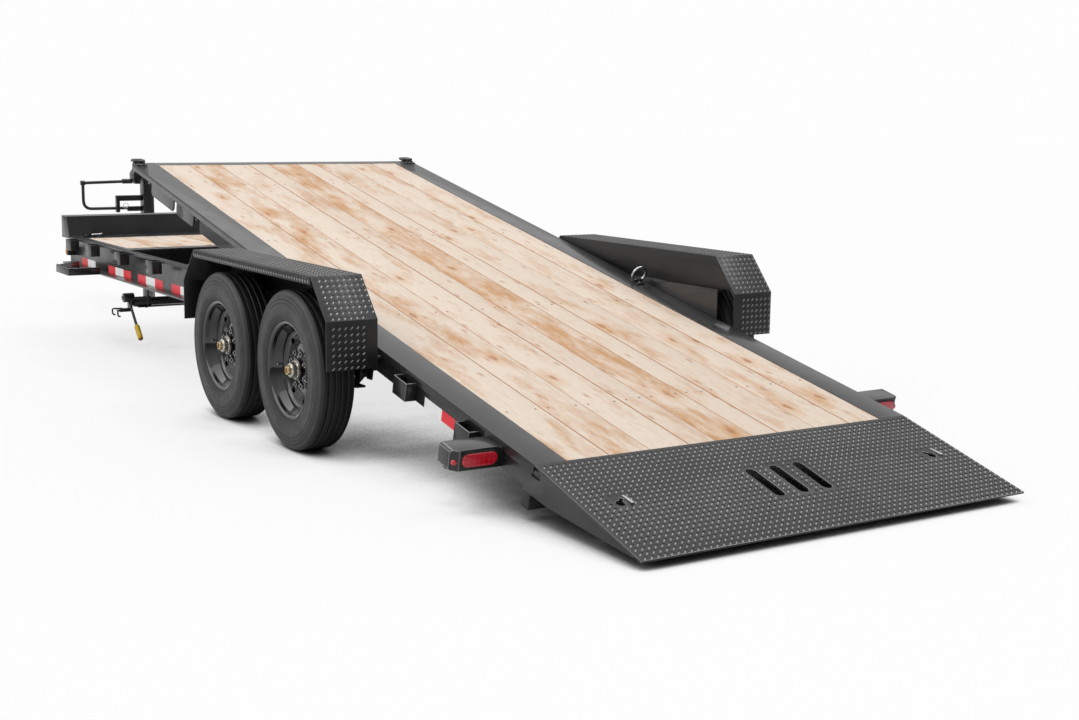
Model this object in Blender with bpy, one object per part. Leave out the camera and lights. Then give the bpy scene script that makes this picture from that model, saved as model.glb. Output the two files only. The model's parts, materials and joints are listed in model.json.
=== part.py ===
"""Tandem-axle tilt-deck equipment trailer, parked on its jack with the deck tipped back.

Metres, +Z up, +X towards the coupler, +Y the left side. The origin is on the ground, below the
middle of the whole length. The deck is modelled level, between the main rails, and then turned
about its pivot shaft, as the real one moves.
"""
import math

import bmesh
import bpy
from mathutils import Matrix, Vector

# Whole vehicle
HALF_LENGTH = 4.540          # tip of the approach plate to the coupler nose, halved
HALF_WIDTH = 1.299           # 102 in overall, over the fenders
GAP = 0.0003                 # between pieces that touch
TILT = math.radians(11.74)   # deck angle as parked

# Stations along X, all from the rear axle
REAR_AXLE_X = -2.088
AXLE_SPREAD = 0.882
FRONT_AXLE_X = REAR_AXLE_X + AXLE_SPREAD
PIVOT_X = REAR_AXLE_X + 0.383
RAIL_REAR_X = REAR_AXLE_X - 0.452
TILT_REAR_X = REAR_AXLE_X - 1.751    # rear end of the tilt deck's boards, deck level
TILT_LENGTH = 4.877                  # 16 ft of boards
TILT_FRONT_X = TILT_REAR_X + TILT_LENGTH
FRONT_BAR = 0.060
FIXED_REAR_X = REAR_AXLE_X + 3.205   # the 4 ft fixed deck
FIXED_FRONT_X = REAR_AXLE_X + 4.528
FIXED_BOARD_REAR_X = REAR_AXLE_X + 3.300
FIXED_BOARD_FRONT_X = REAR_AXLE_X + 4.185

# Heights
DECK_TOP = 0.687
PIVOT_Z = 0.500
PIVOT_RADIUS = 0.030
RAIL_DEPTH = 0.203
RAIL_BOTTOM = DECK_TOP - RAIL_DEPTH
BOARD_THICK = 0.040
JOIST_TOP = DECK_TOP - BOARD_THICK - GAP
JOIST_DEPTH = 0.076
JOIST_BOTTOM = JOIST_TOP - JOIST_DEPTH

# Main rails: channels with their toes outwards
RAIL_INNER_Y = 1.012
RAIL_WEB = 0.008
RAIL_OUTER_Y = 1.077
RAIL_FLANGE = 0.012

# Stake pockets on the main rails: rear end of each from the rear axle
RAIL_POCKETS = (2.378, 3.008, 3.636, 4.120)
POCKET_LENGTH = 0.122
POCKET_WALL = 0.006
POCKET_HEIGHT = 0.076
RAIL_POCKET_OUTER_Y = 1.131

# Spring hangers under the rails, from the rear axle
HANGERS = (-0.330, 0.441, 1.212)
HANGER_EYE_Z = 0.395
SPRING_Y = 1.046

# Tilt deck sections
BAND_INNER_Y = 0.855
BAND_OUTER_Y = 1.006
BAND_THICK = 0.006
LIP_DEPTH = 0.040
TILT_WEB_OUTER_Y = 0.994
TILT_WEB_THICK = 0.008
TILT_WEB_BOTTOM = 0.567
CROSS_BOTTOM = TILT_WEB_BOTTOM + 0.0085    # cross-members, over the web's inner flange
CROSS_WIDTH = 0.036
CROSS_COUNT = 12
TILT_POCKETS = {"front": -0.765, "rear": -1.328}    # rear end of each, from the rear axle
TILT_POCKET_TOP = 0.656
TILT_POCKET_HEIGHT = 0.085
TILT_POCKET_OUTER_Y = 1.056
# Widths of the deck's boards, from the left
TILT_BOARDS = (0.206, 0.204, 0.204, 0.142, 0.204, 0.140, 0.215, 0.205, 0.189)
# Side plates under the front of the band: rear and front ends from the rear axle
SIDE_PLATES = ((-1.751, 1.980), (2.080, 2.375), (2.425, 2.832))

# Approach plate: tip in the level deck's frame
TIP_X = REAR_AXLE_X - 2.486
TIP_Z = 0.629
PLATE_THICK = 0.008

# Wheels: 215/75R17.5 on 17.5 x 6.75 rims
TYRE_RADIUS = 0.3835
WHEEL_MID_Y = 1.1965
TYRE_STEPS = 36
RIM_STEPS = 24
HUB_STEPS = 16
BOLT_CIRCLE = 0.0825
LUG_COUNT = 8
AXLE_RADIUS = 0.038

# Fenders
FENDER_INNER_Y = 1.044
FENDER_TOP = 0.860
FENDER_PLATE = 0.005
FENDER_LIP = 0.040
FENDER_REAR_X = REAR_AXLE_X - 0.4736
FENDER_FRONT_X = REAR_AXLE_X + 1.3574

# Damping cylinder: base on the chassis, eye under the level deck
BARREL_X = REAR_AXLE_X + 2.620
BARREL_Z = 0.460
BARREL_PIN = 0.016
EYE_X = REAR_AXLE_X + 1.450
EYE_Z = 0.530
EYE_PIN = 0.010
EYE_BORE = 0.0185            # wide, since the eye drifts from its pin between the limits
EYE_RADIUS = 0.030

# Tongue, coupler and jack
TONGUE_REAR_X = REAR_AXLE_X + 3.330
TONGUE_REAR_Y = 0.640
TONGUE_NOSE_X = REAR_AXLE_X + 6.180
TONGUE_TOP = JOIST_BOTTOM - GAP
TONGUE_DEPTH = 0.127
JACK_X = REAR_AXLE_X + 5.860
JACK_HALF = 0.0445

BLACK = ("satin black paint", (0.035, 0.036, 0.038, 1.0), 0.42, 0.0)
GLOSS = ("gloss black paint", (0.012, 0.012, 0.013, 1.0), 0.15, 0.0)
TREAD = ("diamond plate", (0.050, 0.051, 0.053, 1.0), 0.38, 0.2)
WOOD = ("deck boards", (0.80, 0.66, 0.50, 1.0), 0.70, 0.0)
RUBBER = ("tyre rubber", (0.045, 0.045, 0.047, 1.0), 0.80, 0.0)
CHROME = ("bright plated steel", (0.72, 0.72, 0.73, 1.0), 0.16, 1.0)
RED = ("red lens", (0.55, 0.02, 0.03, 1.0), 0.15, 0.0)
YELLOW = ("yellow grip", (0.85, 0.62, 0.05, 1.0), 0.45, 0.0)


def material(spec):
    """Return the Principled material of a finish, made once."""
    name, colour, roughness, metallic = spec
    found = bpy.data.materials.get(name)
    if found:
        return found
    new = bpy.data.materials.new(name)
    new.use_nodes = True
    shader = new.node_tree.nodes["Principled BSDF"]
    shader.inputs["Base Color"].default_value = colour
    shader.inputs["Roughness"].default_value = roughness
    shader.inputs["Metallic"].default_value = metallic
    return new


def finish(name, bm, spec, smooth=False):
    """Turn a bmesh into a named object with its normals outwards."""
    bmesh.ops.recalc_face_normals(bm, faces=bm.faces)
    mesh = bpy.data.meshes.new(name)
    bm.to_mesh(mesh)
    bm.free()
    if smooth:
        mesh.shade_smooth()
        mesh.set_sharp_from_angle(angle=math.radians(35))
    obj = bpy.data.objects.new(name, mesh)
    bpy.context.scene.collection.objects.link(obj)
    obj.data.materials.append(material(spec))
    return obj


def at_depth(axis, a, b, depth):
    """A point of an outline drawn on the plane across an axis, at a depth along it."""
    return {"X": (depth, a, b), "Y": (a, depth, b), "Z": (a, b, depth)}[axis]


def prism(name, axis, outline, low, high, spec=BLACK):
    """Extrude a closed outline along an axis: (y, z) along X, (x, z) along Y, (x, y) along Z."""
    bm = bmesh.new()
    corners = [bm.verts.new(at_depth(axis, a, b, low)) for a, b in outline]
    face = bm.faces.new(corners)
    extruded = bmesh.ops.extrude_face_region(bm, geom=[face])
    moved = [item for item in extruded["geom"] if isinstance(item, bmesh.types.BMVert)]
    bmesh.ops.translate(bm, verts=moved, vec=Vector(at_depth(axis, 0, 0, high - low)))
    return finish(name, bm, spec)


def block(name, x, y, z, spec=BLACK):
    """A box from its (low, high) pairs."""
    outline = [(x[0], z[0]), (x[1], z[0]), (x[1], z[1]), (x[0], z[1])]
    return prism(name, "Y", outline, y[0], y[1], spec)


def turned(name, profile, centre, axis, steps, spec, flat_down=False):
    """Spin a closed (radius, along) profile about an axis through a centre.

    With flat_down the middle of a facet, not a corner, is at the stated radius and lowest.
    """
    offset = 0.5 if flat_down else 0.0
    grow = 1 / math.cos(math.pi / steps) if flat_down else 1.0
    across = {"X": Vector((0, 0, 1)), "Y": Vector((1, 0, 0)), "Z": Vector((1, 0, 0))}[axis]
    along = {"X": Vector((1, 0, 0)), "Y": Vector((0, 1, 0)), "Z": Vector((0, 0, 1))}[axis]
    bm = bmesh.new()
    rings = []
    for step in range(steps):
        turn = Matrix.Rotation(2 * math.pi * (step + offset) / steps, 3, along)
        rings.append([bm.verts.new(Vector(centre) + turn @ (across * radius * grow)
                                   + along * distance) for radius, distance in profile])
    count = len(profile)
    for step in range(steps):
        here, there = rings[step], rings[(step + 1) % steps]
        for k in range(count):
            after = (k + 1) % count
            bm.faces.new((here[k], here[after], there[after], there[k]))
    bmesh.ops.remove_doubles(bm, verts=bm.verts, dist=0.00001)
    return finish(name, bm, spec, smooth=True)


def rod(name, start, end, radius, steps=12, spec=BLACK):
    """A round bar between two points."""
    start, end = Vector(start), Vector(end)
    along = end - start
    bm = bmesh.new()
    bmesh.ops.create_cone(bm, cap_ends=True, segments=steps, radius1=radius, radius2=radius,
                          depth=along.length)
    turn = Vector((0, 0, 1)).rotation_difference(along).to_matrix().to_4x4()
    bm.transform(Matrix.Translation((start + end) / 2) @ turn)
    return finish(name, bm, spec, smooth=True)


def combine(base, others, operation="UNION"):
    """Union others into the base, or cut them from it, and remove them."""
    for other in others:
        step = base.modifiers.new(operation.lower(), "BOOLEAN")
        step.operation = operation
        step.solver = "EXACT"
        step.object = other
    bpy.context.view_layer.update()
    evaluated = base.evaluated_get(bpy.context.evaluated_depsgraph_get())
    mesh = bpy.data.meshes.new_from_object(evaluated)
    base.modifiers.clear()
    base.data = mesh
    for other in others:
        bpy.data.objects.remove(other)
    return base


def mirrored(obj, name):
    """A copy of an object reflected to the other side, with its faces still outwards."""
    bm = bmesh.new()
    bm.from_mesh(obj.data)
    bm.transform(Matrix.Scale(-1, 4, (0, 1, 0)))
    bmesh.ops.reverse_faces(bm, faces=bm.faces)
    mesh = obj.data.copy()
    bm.to_mesh(mesh)
    bm.free()
    copy = bpy.data.objects.new(name, mesh)
    bpy.context.scene.collection.objects.link(copy)
    return copy


def channel(back, toe, low, high, web, flange):
    """The outline of a channel: its web stands at back and its flanges reach to toe."""
    inner = back + math.copysign(web, toe - back)
    return [(back, low), (toe, low), (toe, low + flange), (inner, low + flange),
            (inner, high - flange), (toe, high - flange), (toe, high), (back, high)]


def fillet_arc(centre, radius, start, end, steps):
    """Points of an arc, with its angles in degrees."""
    return [(centre[0] + radius * math.cos(math.radians(start + (end - start) * k / steps)),
             centre[1] + radius * math.sin(math.radians(start + (end - start) * k / steps)))
            for k in range(steps + 1)]


def add_pockets(carrier, stations, inner_y, outer_y, top, height):
    """Weld open-ended stake pockets to the outside of a main rail."""
    boxes, holes = [], []
    for station in stations:
        x = REAR_AXLE_X + station
        boxes.append(block("box", (x, x + POCKET_LENGTH), (inner_y, outer_y), (top - height, top)))
        holes.append(block("hole", (x + POCKET_WALL, x + POCKET_LENGTH - POCKET_WALL),
                           (inner_y + 0.004, outer_y - POCKET_WALL),
                           (top - height - 0.05, top + 0.05)))
    combine(carrier, boxes)
    combine(carrier, holes, "DIFFERENCE")


def build_main_rails():
    """Main rails, with stake pockets, spring hangers and pivot bearing blocks welded on."""
    outline = channel(RAIL_INNER_Y, RAIL_OUTER_Y, RAIL_BOTTOM, DECK_TOP, RAIL_WEB, RAIL_FLANGE)
    rail = prism("main_rail_left", "X", outline, RAIL_REAR_X, FIXED_FRONT_X)
    add_pockets(rail, RAIL_POCKETS, RAIL_OUTER_Y - 0.006, RAIL_POCKET_OUTER_Y,
                DECK_TOP - 0.004, POCKET_HEIGHT)
    hangers = []
    for station in HANGERS:
        x = REAR_AXLE_X + station
        top = RAIL_BOTTOM + 0.004
        outline = [(x - 0.060, top), (x - 0.024, HANGER_EYE_Z - 0.026),
                   (x + 0.024, HANGER_EYE_Z - 0.026), (x + 0.060, top)]
        for y in (SPRING_Y - 0.034, SPRING_Y + 0.0255):
            hangers.append(prism("cheek", "Y", outline, y, y + 0.006))
    combine(rail, hangers)
    bearing = block("bearing", (PIVOT_X - 0.050, PIVOT_X + 0.050), (0.972, RAIL_INNER_Y + 0.002),
                    (RAIL_BOTTOM - 0.030, PIVOT_Z + 0.045))
    combine(rail, [bearing])
    bore = rod("bore", (PIVOT_X, 0.960, PIVOT_Z), (PIVOT_X, RAIL_INNER_Y - 0.001, PIVOT_Z),
               PIVOT_RADIUS + GAP, 24)
    combine(rail, [bore], "DIFFERENCE")
    mirrored(rail, "main_rail_right")


def build_chassis_frame():
    """Cross-members under the tilt deck, and the fixed deck's frame."""
    y = RAIL_INNER_Y - GAP
    top = RAIL_BOTTOM + 0.047
    # Rear edge of each cross-member from the rear axle
    stations = (0.480, 2.720, 3.040)
    width = 0.050
    pieces = [block("cross", (REAR_AXLE_X + x, REAR_AXLE_X + x + width), (-y, y),
                    (RAIL_BOTTOM, top)) for x in stations]
    for side in (-1, 1):
        low, high = sorted((side * 0.640, side * 0.590))
        pieces.append(block("stringer", (REAR_AXLE_X + 0.490, REAR_AXLE_X + 3.060), (low, high),
                            (RAIL_BOTTOM + 0.002, top - 0.002)))
    frame = block("chassis_crossframe", (REAR_AXLE_X + 2.000, REAR_AXLE_X + 2.050), (-y, -0.200),
                  (RAIL_BOTTOM, top))
    pieces.append(block("cross", (REAR_AXLE_X + 2.000, REAR_AXLE_X + 2.050), (0.200, y),
                        (RAIL_BOTTOM, top)))
    ears = []
    for side in (-1, 1):
        low, high = sorted((side * 0.0480, side * 0.0560))
        x = BARREL_X
        outline = [(x - 0.030, BARREL_Z - 0.030), (x + 0.030, BARREL_Z - 0.030),
                   (REAR_AXLE_X + 2.740, RAIL_BOTTOM + 0.010),
                   (REAR_AXLE_X + 2.740, top - 0.004), (x - 0.030, BARREL_Z + 0.030)]
        ears.append(prism("ear", "Y", outline, low, high))
    combine(frame, pieces + ears)
    pin = rod("pin", (BARREL_X, -0.052, BARREL_Z), (BARREL_X, 0.052, BARREL_Z), BARREL_PIN, 16)
    combine(frame, [pin])

    # Fixed deck: front and rear channels, joists and a centre strut in one ladder
    ladder = block("fixed_deck_frame", (FIXED_REAR_X, FIXED_REAR_X + 0.060), (-y, y),
                   (JOIST_BOTTOM, DECK_TOP - 0.008))
    joists = [block("joist", (FIXED_FRONT_X - 0.060, FIXED_FRONT_X), (-y, y),
                    (JOIST_BOTTOM, DECK_TOP - 0.008))]
    for station in (3.480, 3.840, 4.160):
        x = REAR_AXLE_X + station
        joists.append(block("joist", (x, x + 0.040), (-y, y), (JOIST_BOTTOM, JOIST_TOP)))
    joists.append(block("strut", (FIXED_REAR_X + 0.030, FIXED_FRONT_X - 0.030), (-0.020, 0.020),
                        (JOIST_BOTTOM + 0.002, JOIST_TOP - 0.002)))
    combine(ladder, joists)


def build_fixed_deck():
    """Boards of the fixed deck, the steel plates round them, and the headboard."""
    half = 0.984
    count = 9
    boards("fixed_deck_boards", FIXED_BOARD_REAR_X + GAP, FIXED_BOARD_FRONT_X - GAP,
           [2 * (half - GAP) / count] * count)
    low = DECK_TOP - 0.008 + GAP
    rear = block("fixed_deck_border", (FIXED_REAR_X, FIXED_BOARD_REAR_X),
                 (-RAIL_INNER_Y + GAP, RAIL_INNER_Y - GAP), (low, DECK_TOP))
    front = block("front", (FIXED_BOARD_FRONT_X, FIXED_FRONT_X),
                  (-RAIL_INNER_Y + GAP, RAIL_INNER_Y - GAP), (low, DECK_TOP))
    sides = []
    for side in (-1, 1):
        a, b = sorted((side * half, side * (RAIL_INNER_Y - GAP)))
        sides.append(block("side", (FIXED_REAR_X + 0.01, FIXED_FRONT_X - 0.01), (a, b),
                           (low, DECK_TOP)))
    combine(rear, [front] + sides)

    # Headboard: folded box with a sloping rear face and a lip along its top
    base = DECK_TOP + GAP
    outline = [(FIXED_FRONT_X - 0.180, base), (FIXED_FRONT_X, base),
               (FIXED_FRONT_X, base + 0.145), (FIXED_FRONT_X - 0.122, base + 0.145),
               (FIXED_FRONT_X - 0.122, base + 0.127)]
    prism("headboard", "Y", outline, -RAIL_OUTER_Y, RAIL_OUTER_Y)


def boards(name, rear, front, widths):
    """Deck boards side by side: grooves between them, held by a thin joined underside."""
    groove = 0.003
    top, bottom = DECK_TOP - 0.002, DECK_TOP - BOARD_THICK
    floor = bottom + 0.006
    half = sum(widths) / 2
    outline = [(-half, bottom), (half, bottom), (half, top)]
    y = half
    for width in widths[:-1]:
        y -= width
        outline += [(y + groove / 2, top), (y + groove / 2, floor), (y - groove / 2, floor),
                    (y - groove / 2, top)]
    outline.append((-half, top))
    return prism(name, "X", outline, rear, front, WOOD)


def build_tilt_deck():
    """The tilt deck, level: side rails, cross-frame, boards, front bar and approach plate."""
    deck = []
    rear, front = TILT_REAR_X, TILT_FRONT_X
    top = DECK_TOP
    band = [(BAND_INNER_Y, top - BAND_THICK), (BAND_OUTER_Y - 0.006, top - BAND_THICK),
            (BAND_OUTER_Y - 0.006, top - LIP_DEPTH), (BAND_OUTER_Y, top - LIP_DEPTH),
            (BAND_OUTER_Y, top), (BAND_INNER_Y, top)]
    rail = prism("tilt_rail_left", "X", band, rear, front + FRONT_BAR)
    web_in = TILT_WEB_OUTER_Y - TILT_WEB_THICK
    plates = []
    chamfer = 0.022
    for start, end in SIDE_PLATES:
        start, end = REAR_AXLE_X + start, REAR_AXLE_X + end
        outline = [(start, top - 0.003), (start, TILT_WEB_BOTTOM + chamfer),
                   (start + chamfer, TILT_WEB_BOTTOM), (end - chamfer, TILT_WEB_BOTTOM),
                   (end, TILT_WEB_BOTTOM + chamfer), (end, top - 0.003)]
        plates.append(prism("plate", "Y", outline, web_in, TILT_WEB_OUTER_Y))
    plates.append(block("flange", (rear, REAR_AXLE_X + 1.980), (web_in - 0.050, web_in + 0.004),
                        (TILT_WEB_BOTTOM, TILT_WEB_BOTTOM + 0.008)))
    combine(rail, plates)
    # Side gusset of the approach plate, its window, and the foot the deck could rest on
    gusset_front, gusset_bend, gusset_bottom = rear + 0.081, rear - 0.111, 0.549
    gusset = [(gusset_front, gusset_bottom), (gusset_front, top - 0.004), (rear, top - 0.004),
              (rear, top - 0.001 - PLATE_THICK), (rear - 0.010, top - 0.004 - PLATE_THICK),
              (TIP_X + 0.060, TIP_Z - 0.004), (TIP_X + 0.060, TIP_Z - 0.019),
              (gusset_bend, gusset_bottom)]
    side = prism("gusset", "Y", gusset, TILT_WEB_OUTER_Y - 0.010, TILT_WEB_OUTER_Y)
    foot = block("foot", (rear + 0.023, gusset_front + 0.001), (0.895, TILT_WEB_OUTER_Y - 0.002),
                 (0.478, CROSS_BOTTOM - GAP))
    combine(rail, [side, foot])
    window = block("window", (rear - 0.033, rear + 0.027), (TILT_WEB_OUTER_Y - 0.020,
                   TILT_WEB_OUTER_Y + 0.010), (0.628, 0.657))
    combine(rail, [window], "DIFFERENCE")
    deck += [rail, mirrored(rail, "tilt_rail_right")]

    bar = [(front + GAP, top), (front + FRONT_BAR, top), (front + FRONT_BAR, top - 0.060),
           (front + FRONT_BAR - 0.006, top - 0.060), (front + FRONT_BAR - 0.006, top - 0.008),
           (front + GAP, top - 0.008)]
    deck.append(prism("tilt_front_bar", "Y", bar, -BAND_INNER_Y + GAP, BAND_INNER_Y - GAP))
    spare = 2 * (BAND_INNER_Y - GAP) - sum(TILT_BOARDS)
    deck.append(boards("tilt_deck_boards", rear + GAP, front - GAP,
                       [width + spare / len(TILT_BOARDS) for width in TILT_BOARDS]))

    # Cross-members are channels lying across, welded to two long stringers
    low = JOIST_BOTTOM
    pitch = (TILT_LENGTH - 0.100) / (CROSS_COUNT - 1)
    stations = [rear + 0.030 + k * pitch for k in range(CROSS_COUNT)]
    inside = web_in - 0.0553
    cross = []
    for x in stations:
        outline = channel(x, x + CROSS_WIDTH, CROSS_BOTTOM, JOIST_TOP, 0.006, 0.007)
        cross.append(prism("joist", "Y", outline, -inside, inside))
    frame = block("tilt_crossframe", (stations[0] + 0.003, stations[-1] + 0.003), (0.440, 0.480),
                  (low, JOIST_TOP - 0.010))
    cross.append(block("stringer", (stations[0] + 0.003, stations[-1] + 0.003), (-0.480, -0.440),
                       (low, JOIST_TOP - 0.010)))
    # Lugs that hold the cylinder's eye
    for side in (-1, 1):
        a, b = sorted((side * 0.0330, side * 0.0410))
        outline = [(EYE_X - 0.026, EYE_Z - 0.026), (EYE_X + 0.026, EYE_Z - 0.026),
                   (EYE_X + 0.060, low + 0.030), (EYE_X - 0.060, low + 0.030)]
        cross.append(prism("lug", "Y", outline, a, b))
    cross.append(block("lug_plate", (EYE_X - 0.250, EYE_X + 0.250), (-0.060, 0.060),
                       (low + 0.020, low + 0.040)))
    cross.append(rod("lug_pin", (EYE_X, -0.037, EYE_Z), (EYE_X, 0.037, EYE_Z), EYE_PIN, 12))
    combine(frame, cross)
    deck.append(frame)

    # Pivot shaft, with an ear at each end that is welded under two cross-members
    shaft = rod("pivot_shaft", (PIVOT_X, -RAIL_INNER_Y + 0.002, PIVOT_Z),
                (PIVOT_X, RAIL_INNER_Y - 0.002, PIVOT_Z), PIVOT_RADIUS, 24)
    before = int((PIVOT_X - stations[0]) / pitch)
    ears = []
    pad_low = CROSS_BOTTOM - 0.010
    for side in (-1, 1):
        a, b = sorted((side * 0.897, side * 0.919))
        outline = [(PIVOT_X - 0.200, pad_low + 0.004), (PIVOT_X - 0.055, PIVOT_Z)]
        outline += fillet_arc((PIVOT_X, PIVOT_Z), 0.055, 180, 360, 8)[1:]
        outline += [(PIVOT_X + 0.090, pad_low + 0.004)]
        ears.append(prism("ear", "Y", outline, a, b))
        a, b = sorted((side * 0.880, side * 0.930))
        ears.append(block("pad", (stations[before], stations[before + 1] + CROSS_WIDTH), (a, b),
                          (pad_low, CROSS_BOTTOM - GAP)))
    combine(shaft, ears)
    deck.append(shaft)

    # Approach plate: falls to its tip, with three slots and two keyholes for hooks
    start = rear - 0.010
    outline = [(rear - GAP, top), (rear - GAP, top - PLATE_THICK), (start, top - PLATE_THICK),
               (TIP_X, TIP_Z - PLATE_THICK), (TIP_X, TIP_Z), (start, top)]
    plate = prism("approach_plate", "Y", outline, -BAND_OUTER_Y, BAND_OUTER_Y, TREAD)
    cuts = []
    slot_rear, slot_front, slot_half, slot_pitch = rear - 0.477, rear - 0.249, 0.025, 0.127
    through = (0.550, 0.750)
    for y in (-slot_pitch, 0, slot_pitch):
        ends = fillet_arc((slot_front - slot_half, y), slot_half, -90, 90, 6)
        ends += fillet_arc((slot_rear + slot_half, y), slot_half, 90, 270, 6)
        cuts.append(prism("slot", "Z", ends, *through))
    # A keyhole: a round hole, and a narrow slot that runs forward and inward from it
    hole_x, hole_y, hole_radius = rear - 0.354, 0.835, 0.020
    for side in (-1, 1):
        start = Vector((hole_x, side * hole_y))
        run = Vector((0.78, -0.62 * side)) * 0.041
        across = Vector((0.62 * side, 0.78)) * 0.008
        slot = [start - across, start + run - across, start + run + across, start + across]
        cuts.append(prism("key_slot", "Z", [tuple(point) for point in slot], *through))
        cuts.append(rod("key_hole", (*start, through[0]), (*start, through[1]), hole_radius, 12))
    combine(plate, cuts, "DIFFERENCE")
    deck.append(plate)
    return deck


def build_tilt_pockets():
    """Stake pockets outside the tilt deck's rails: bent plate, open above, below and inside."""
    deck = []
    inner, outer, wall = TILT_WEB_OUTER_Y + GAP, TILT_POCKET_OUTER_Y, POCKET_WALL
    for place, station in TILT_POCKETS.items():
        rear, front = REAR_AXLE_X + station, REAR_AXLE_X + station + POCKET_LENGTH
        bent = [(rear, inner), (rear, outer), (front, outer), (front, inner),
                (front - wall, inner), (front - wall, outer - wall), (rear + wall, outer - wall),
                (rear + wall, inner)]
        pocket = prism("tilt_pocket_%s_left" % place, "Z", bent,
                       TILT_POCKET_TOP - TILT_POCKET_HEIGHT, TILT_POCKET_TOP)
        lip = block("lip", (rear - 0.010, front + 0.010), (inner - 0.010, BAND_OUTER_Y + GAP),
                    (DECK_TOP - LIP_DEPTH - GAP, DECK_TOP))
        combine(pocket, [lip], "DIFFERENCE")
        deck += [pocket, mirrored(pocket, "tilt_pocket_%s_right" % place)]
    return deck


def build_tail_lamps():
    """Lamp boxes outside the tilt deck's rails, with oval lenses and a round marker each."""
    deck = []
    x = REAR_AXLE_X - 1.512
    depth = 0.117
    low, high = 0.576, 0.664
    inner, outer = TILT_WEB_OUTER_Y + GAP, 1.232
    under_lip = DECK_TOP - LIP_DEPTH - GAP
    outline = [(inner, low), (outer - 0.004, low), (outer, low + 0.006), (outer, high - 0.010),
               (outer - 0.010, high), (BAND_OUTER_Y + GAP, high), (BAND_OUTER_Y + GAP, under_lip),
               (inner, under_lip)]
    box = prism("tail_lamp_box_left", "X", outline, x, x + depth)
    # The round marker's face: the outer rear corner cut off at a slant
    corner = [(x - 0.010, outer - 0.0427), (x + 0.040, outer + 0.0107), (x - 0.010, outer + 0.0107)]
    combine(box, [prism("corner", "Z", corner, low - 0.010, high + 0.010)], "DIFFERENCE")
    deck += [box, mirrored(box, "tail_lamp_box_right")]
    half, radius = 0.053, 0.0285
    centre = (1.110, 0.623)
    oval = fillet_arc((centre[0] + half, centre[1]), radius, -90, 90, 8)
    oval += fillet_arc((centre[0] - half, centre[1]), radius, 90, 270, 8)
    lens = prism("tail_lens_left", "X", oval, x - 0.010, x - GAP, RED)
    deck += [lens, mirrored(lens, "tail_lens_right")]
    return deck


def build_tie_rings():
    """D-rings on their brackets at the front corners of the tilt deck."""
    deck = []
    front = TILT_FRONT_X + FRONT_BAR
    y, half, bar = 0.968, 0.033, 0.008
    low, high = DECK_TOP + 0.014, DECK_TOP + 0.024
    bracket = block("tie_ring_left", (front - 0.084, front - 0.004), (y - 0.037, y + 0.037),
                    (DECK_TOP + GAP, DECK_TOP + 0.022))
    ring = [rod("leg", (front - 0.030, y + side * half, low),
                (front + 0.036, y + side * half, high), bar, 8) for side in (-1, 1)]
    ring.append(rod("end", (front + 0.034, y - half - 0.005, high),
                    (front + 0.034, y + half + 0.005, high), bar, 8))
    combine(bracket, ring)
    deck += [bracket, mirrored(bracket, "tie_ring_right")]
    return deck


def build_fenders():
    """Folded diamond plate over each pair of wheels, with a lip outside and a skirt inside."""
    t = FENDER_PLATE
    rear_top = REAR_AXLE_X - 0.3105
    front_top = REAR_AXLE_X + 1.1958
    outer = [(FENDER_REAR_X, 0.447), (FENDER_REAR_X, 0.672), (rear_top, FENDER_TOP),
             (front_top, FENDER_TOP), (FENDER_FRONT_X, 0.681), (FENDER_FRONT_X, 0.470)]
    inner = [(FENDER_FRONT_X - t, 0.470), (FENDER_FRONT_X - t, 0.681 - t * 0.4),
             (front_top - t * 0.5, FENDER_TOP - t), (rear_top + t * 0.5, FENDER_TOP - t),
             (FENDER_REAR_X + t, 0.672 - t * 0.4), (FENDER_REAR_X + t, 0.447)]
    fender = prism("fender_left", "Y", outer + inner, FENDER_INNER_Y, HALF_WIDTH, TREAD)
    lip = block("lip", (rear_top + 0.002, front_top - 0.002), (HALF_WIDTH - t, HALF_WIDTH),
                (FENDER_TOP - FENDER_LIP, FENDER_TOP - 0.001))
    skirt = [(FENDER_REAR_X + 0.018, DECK_TOP + 2 * GAP), (rear_top + 0.002, FENDER_TOP - 0.002),
             (front_top - 0.002, FENDER_TOP - 0.002),
             (FENDER_FRONT_X - 0.008, DECK_TOP + 2 * GAP)]
    wall = prism("skirt", "Y", skirt, FENDER_INNER_Y, FENDER_INNER_Y + t)
    combine(fender, [lip, wall])
    notches = [block("notch", (FENDER_FRONT_X - 0.05, FENDER_FRONT_X + 0.05),
                     (FENDER_INNER_Y - 0.05, RAIL_OUTER_Y + GAP), (0.40, DECK_TOP + GAP))]
    combine(fender, notches, "DIFFERENCE")
    mirrored(fender, "fender_right")


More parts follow.
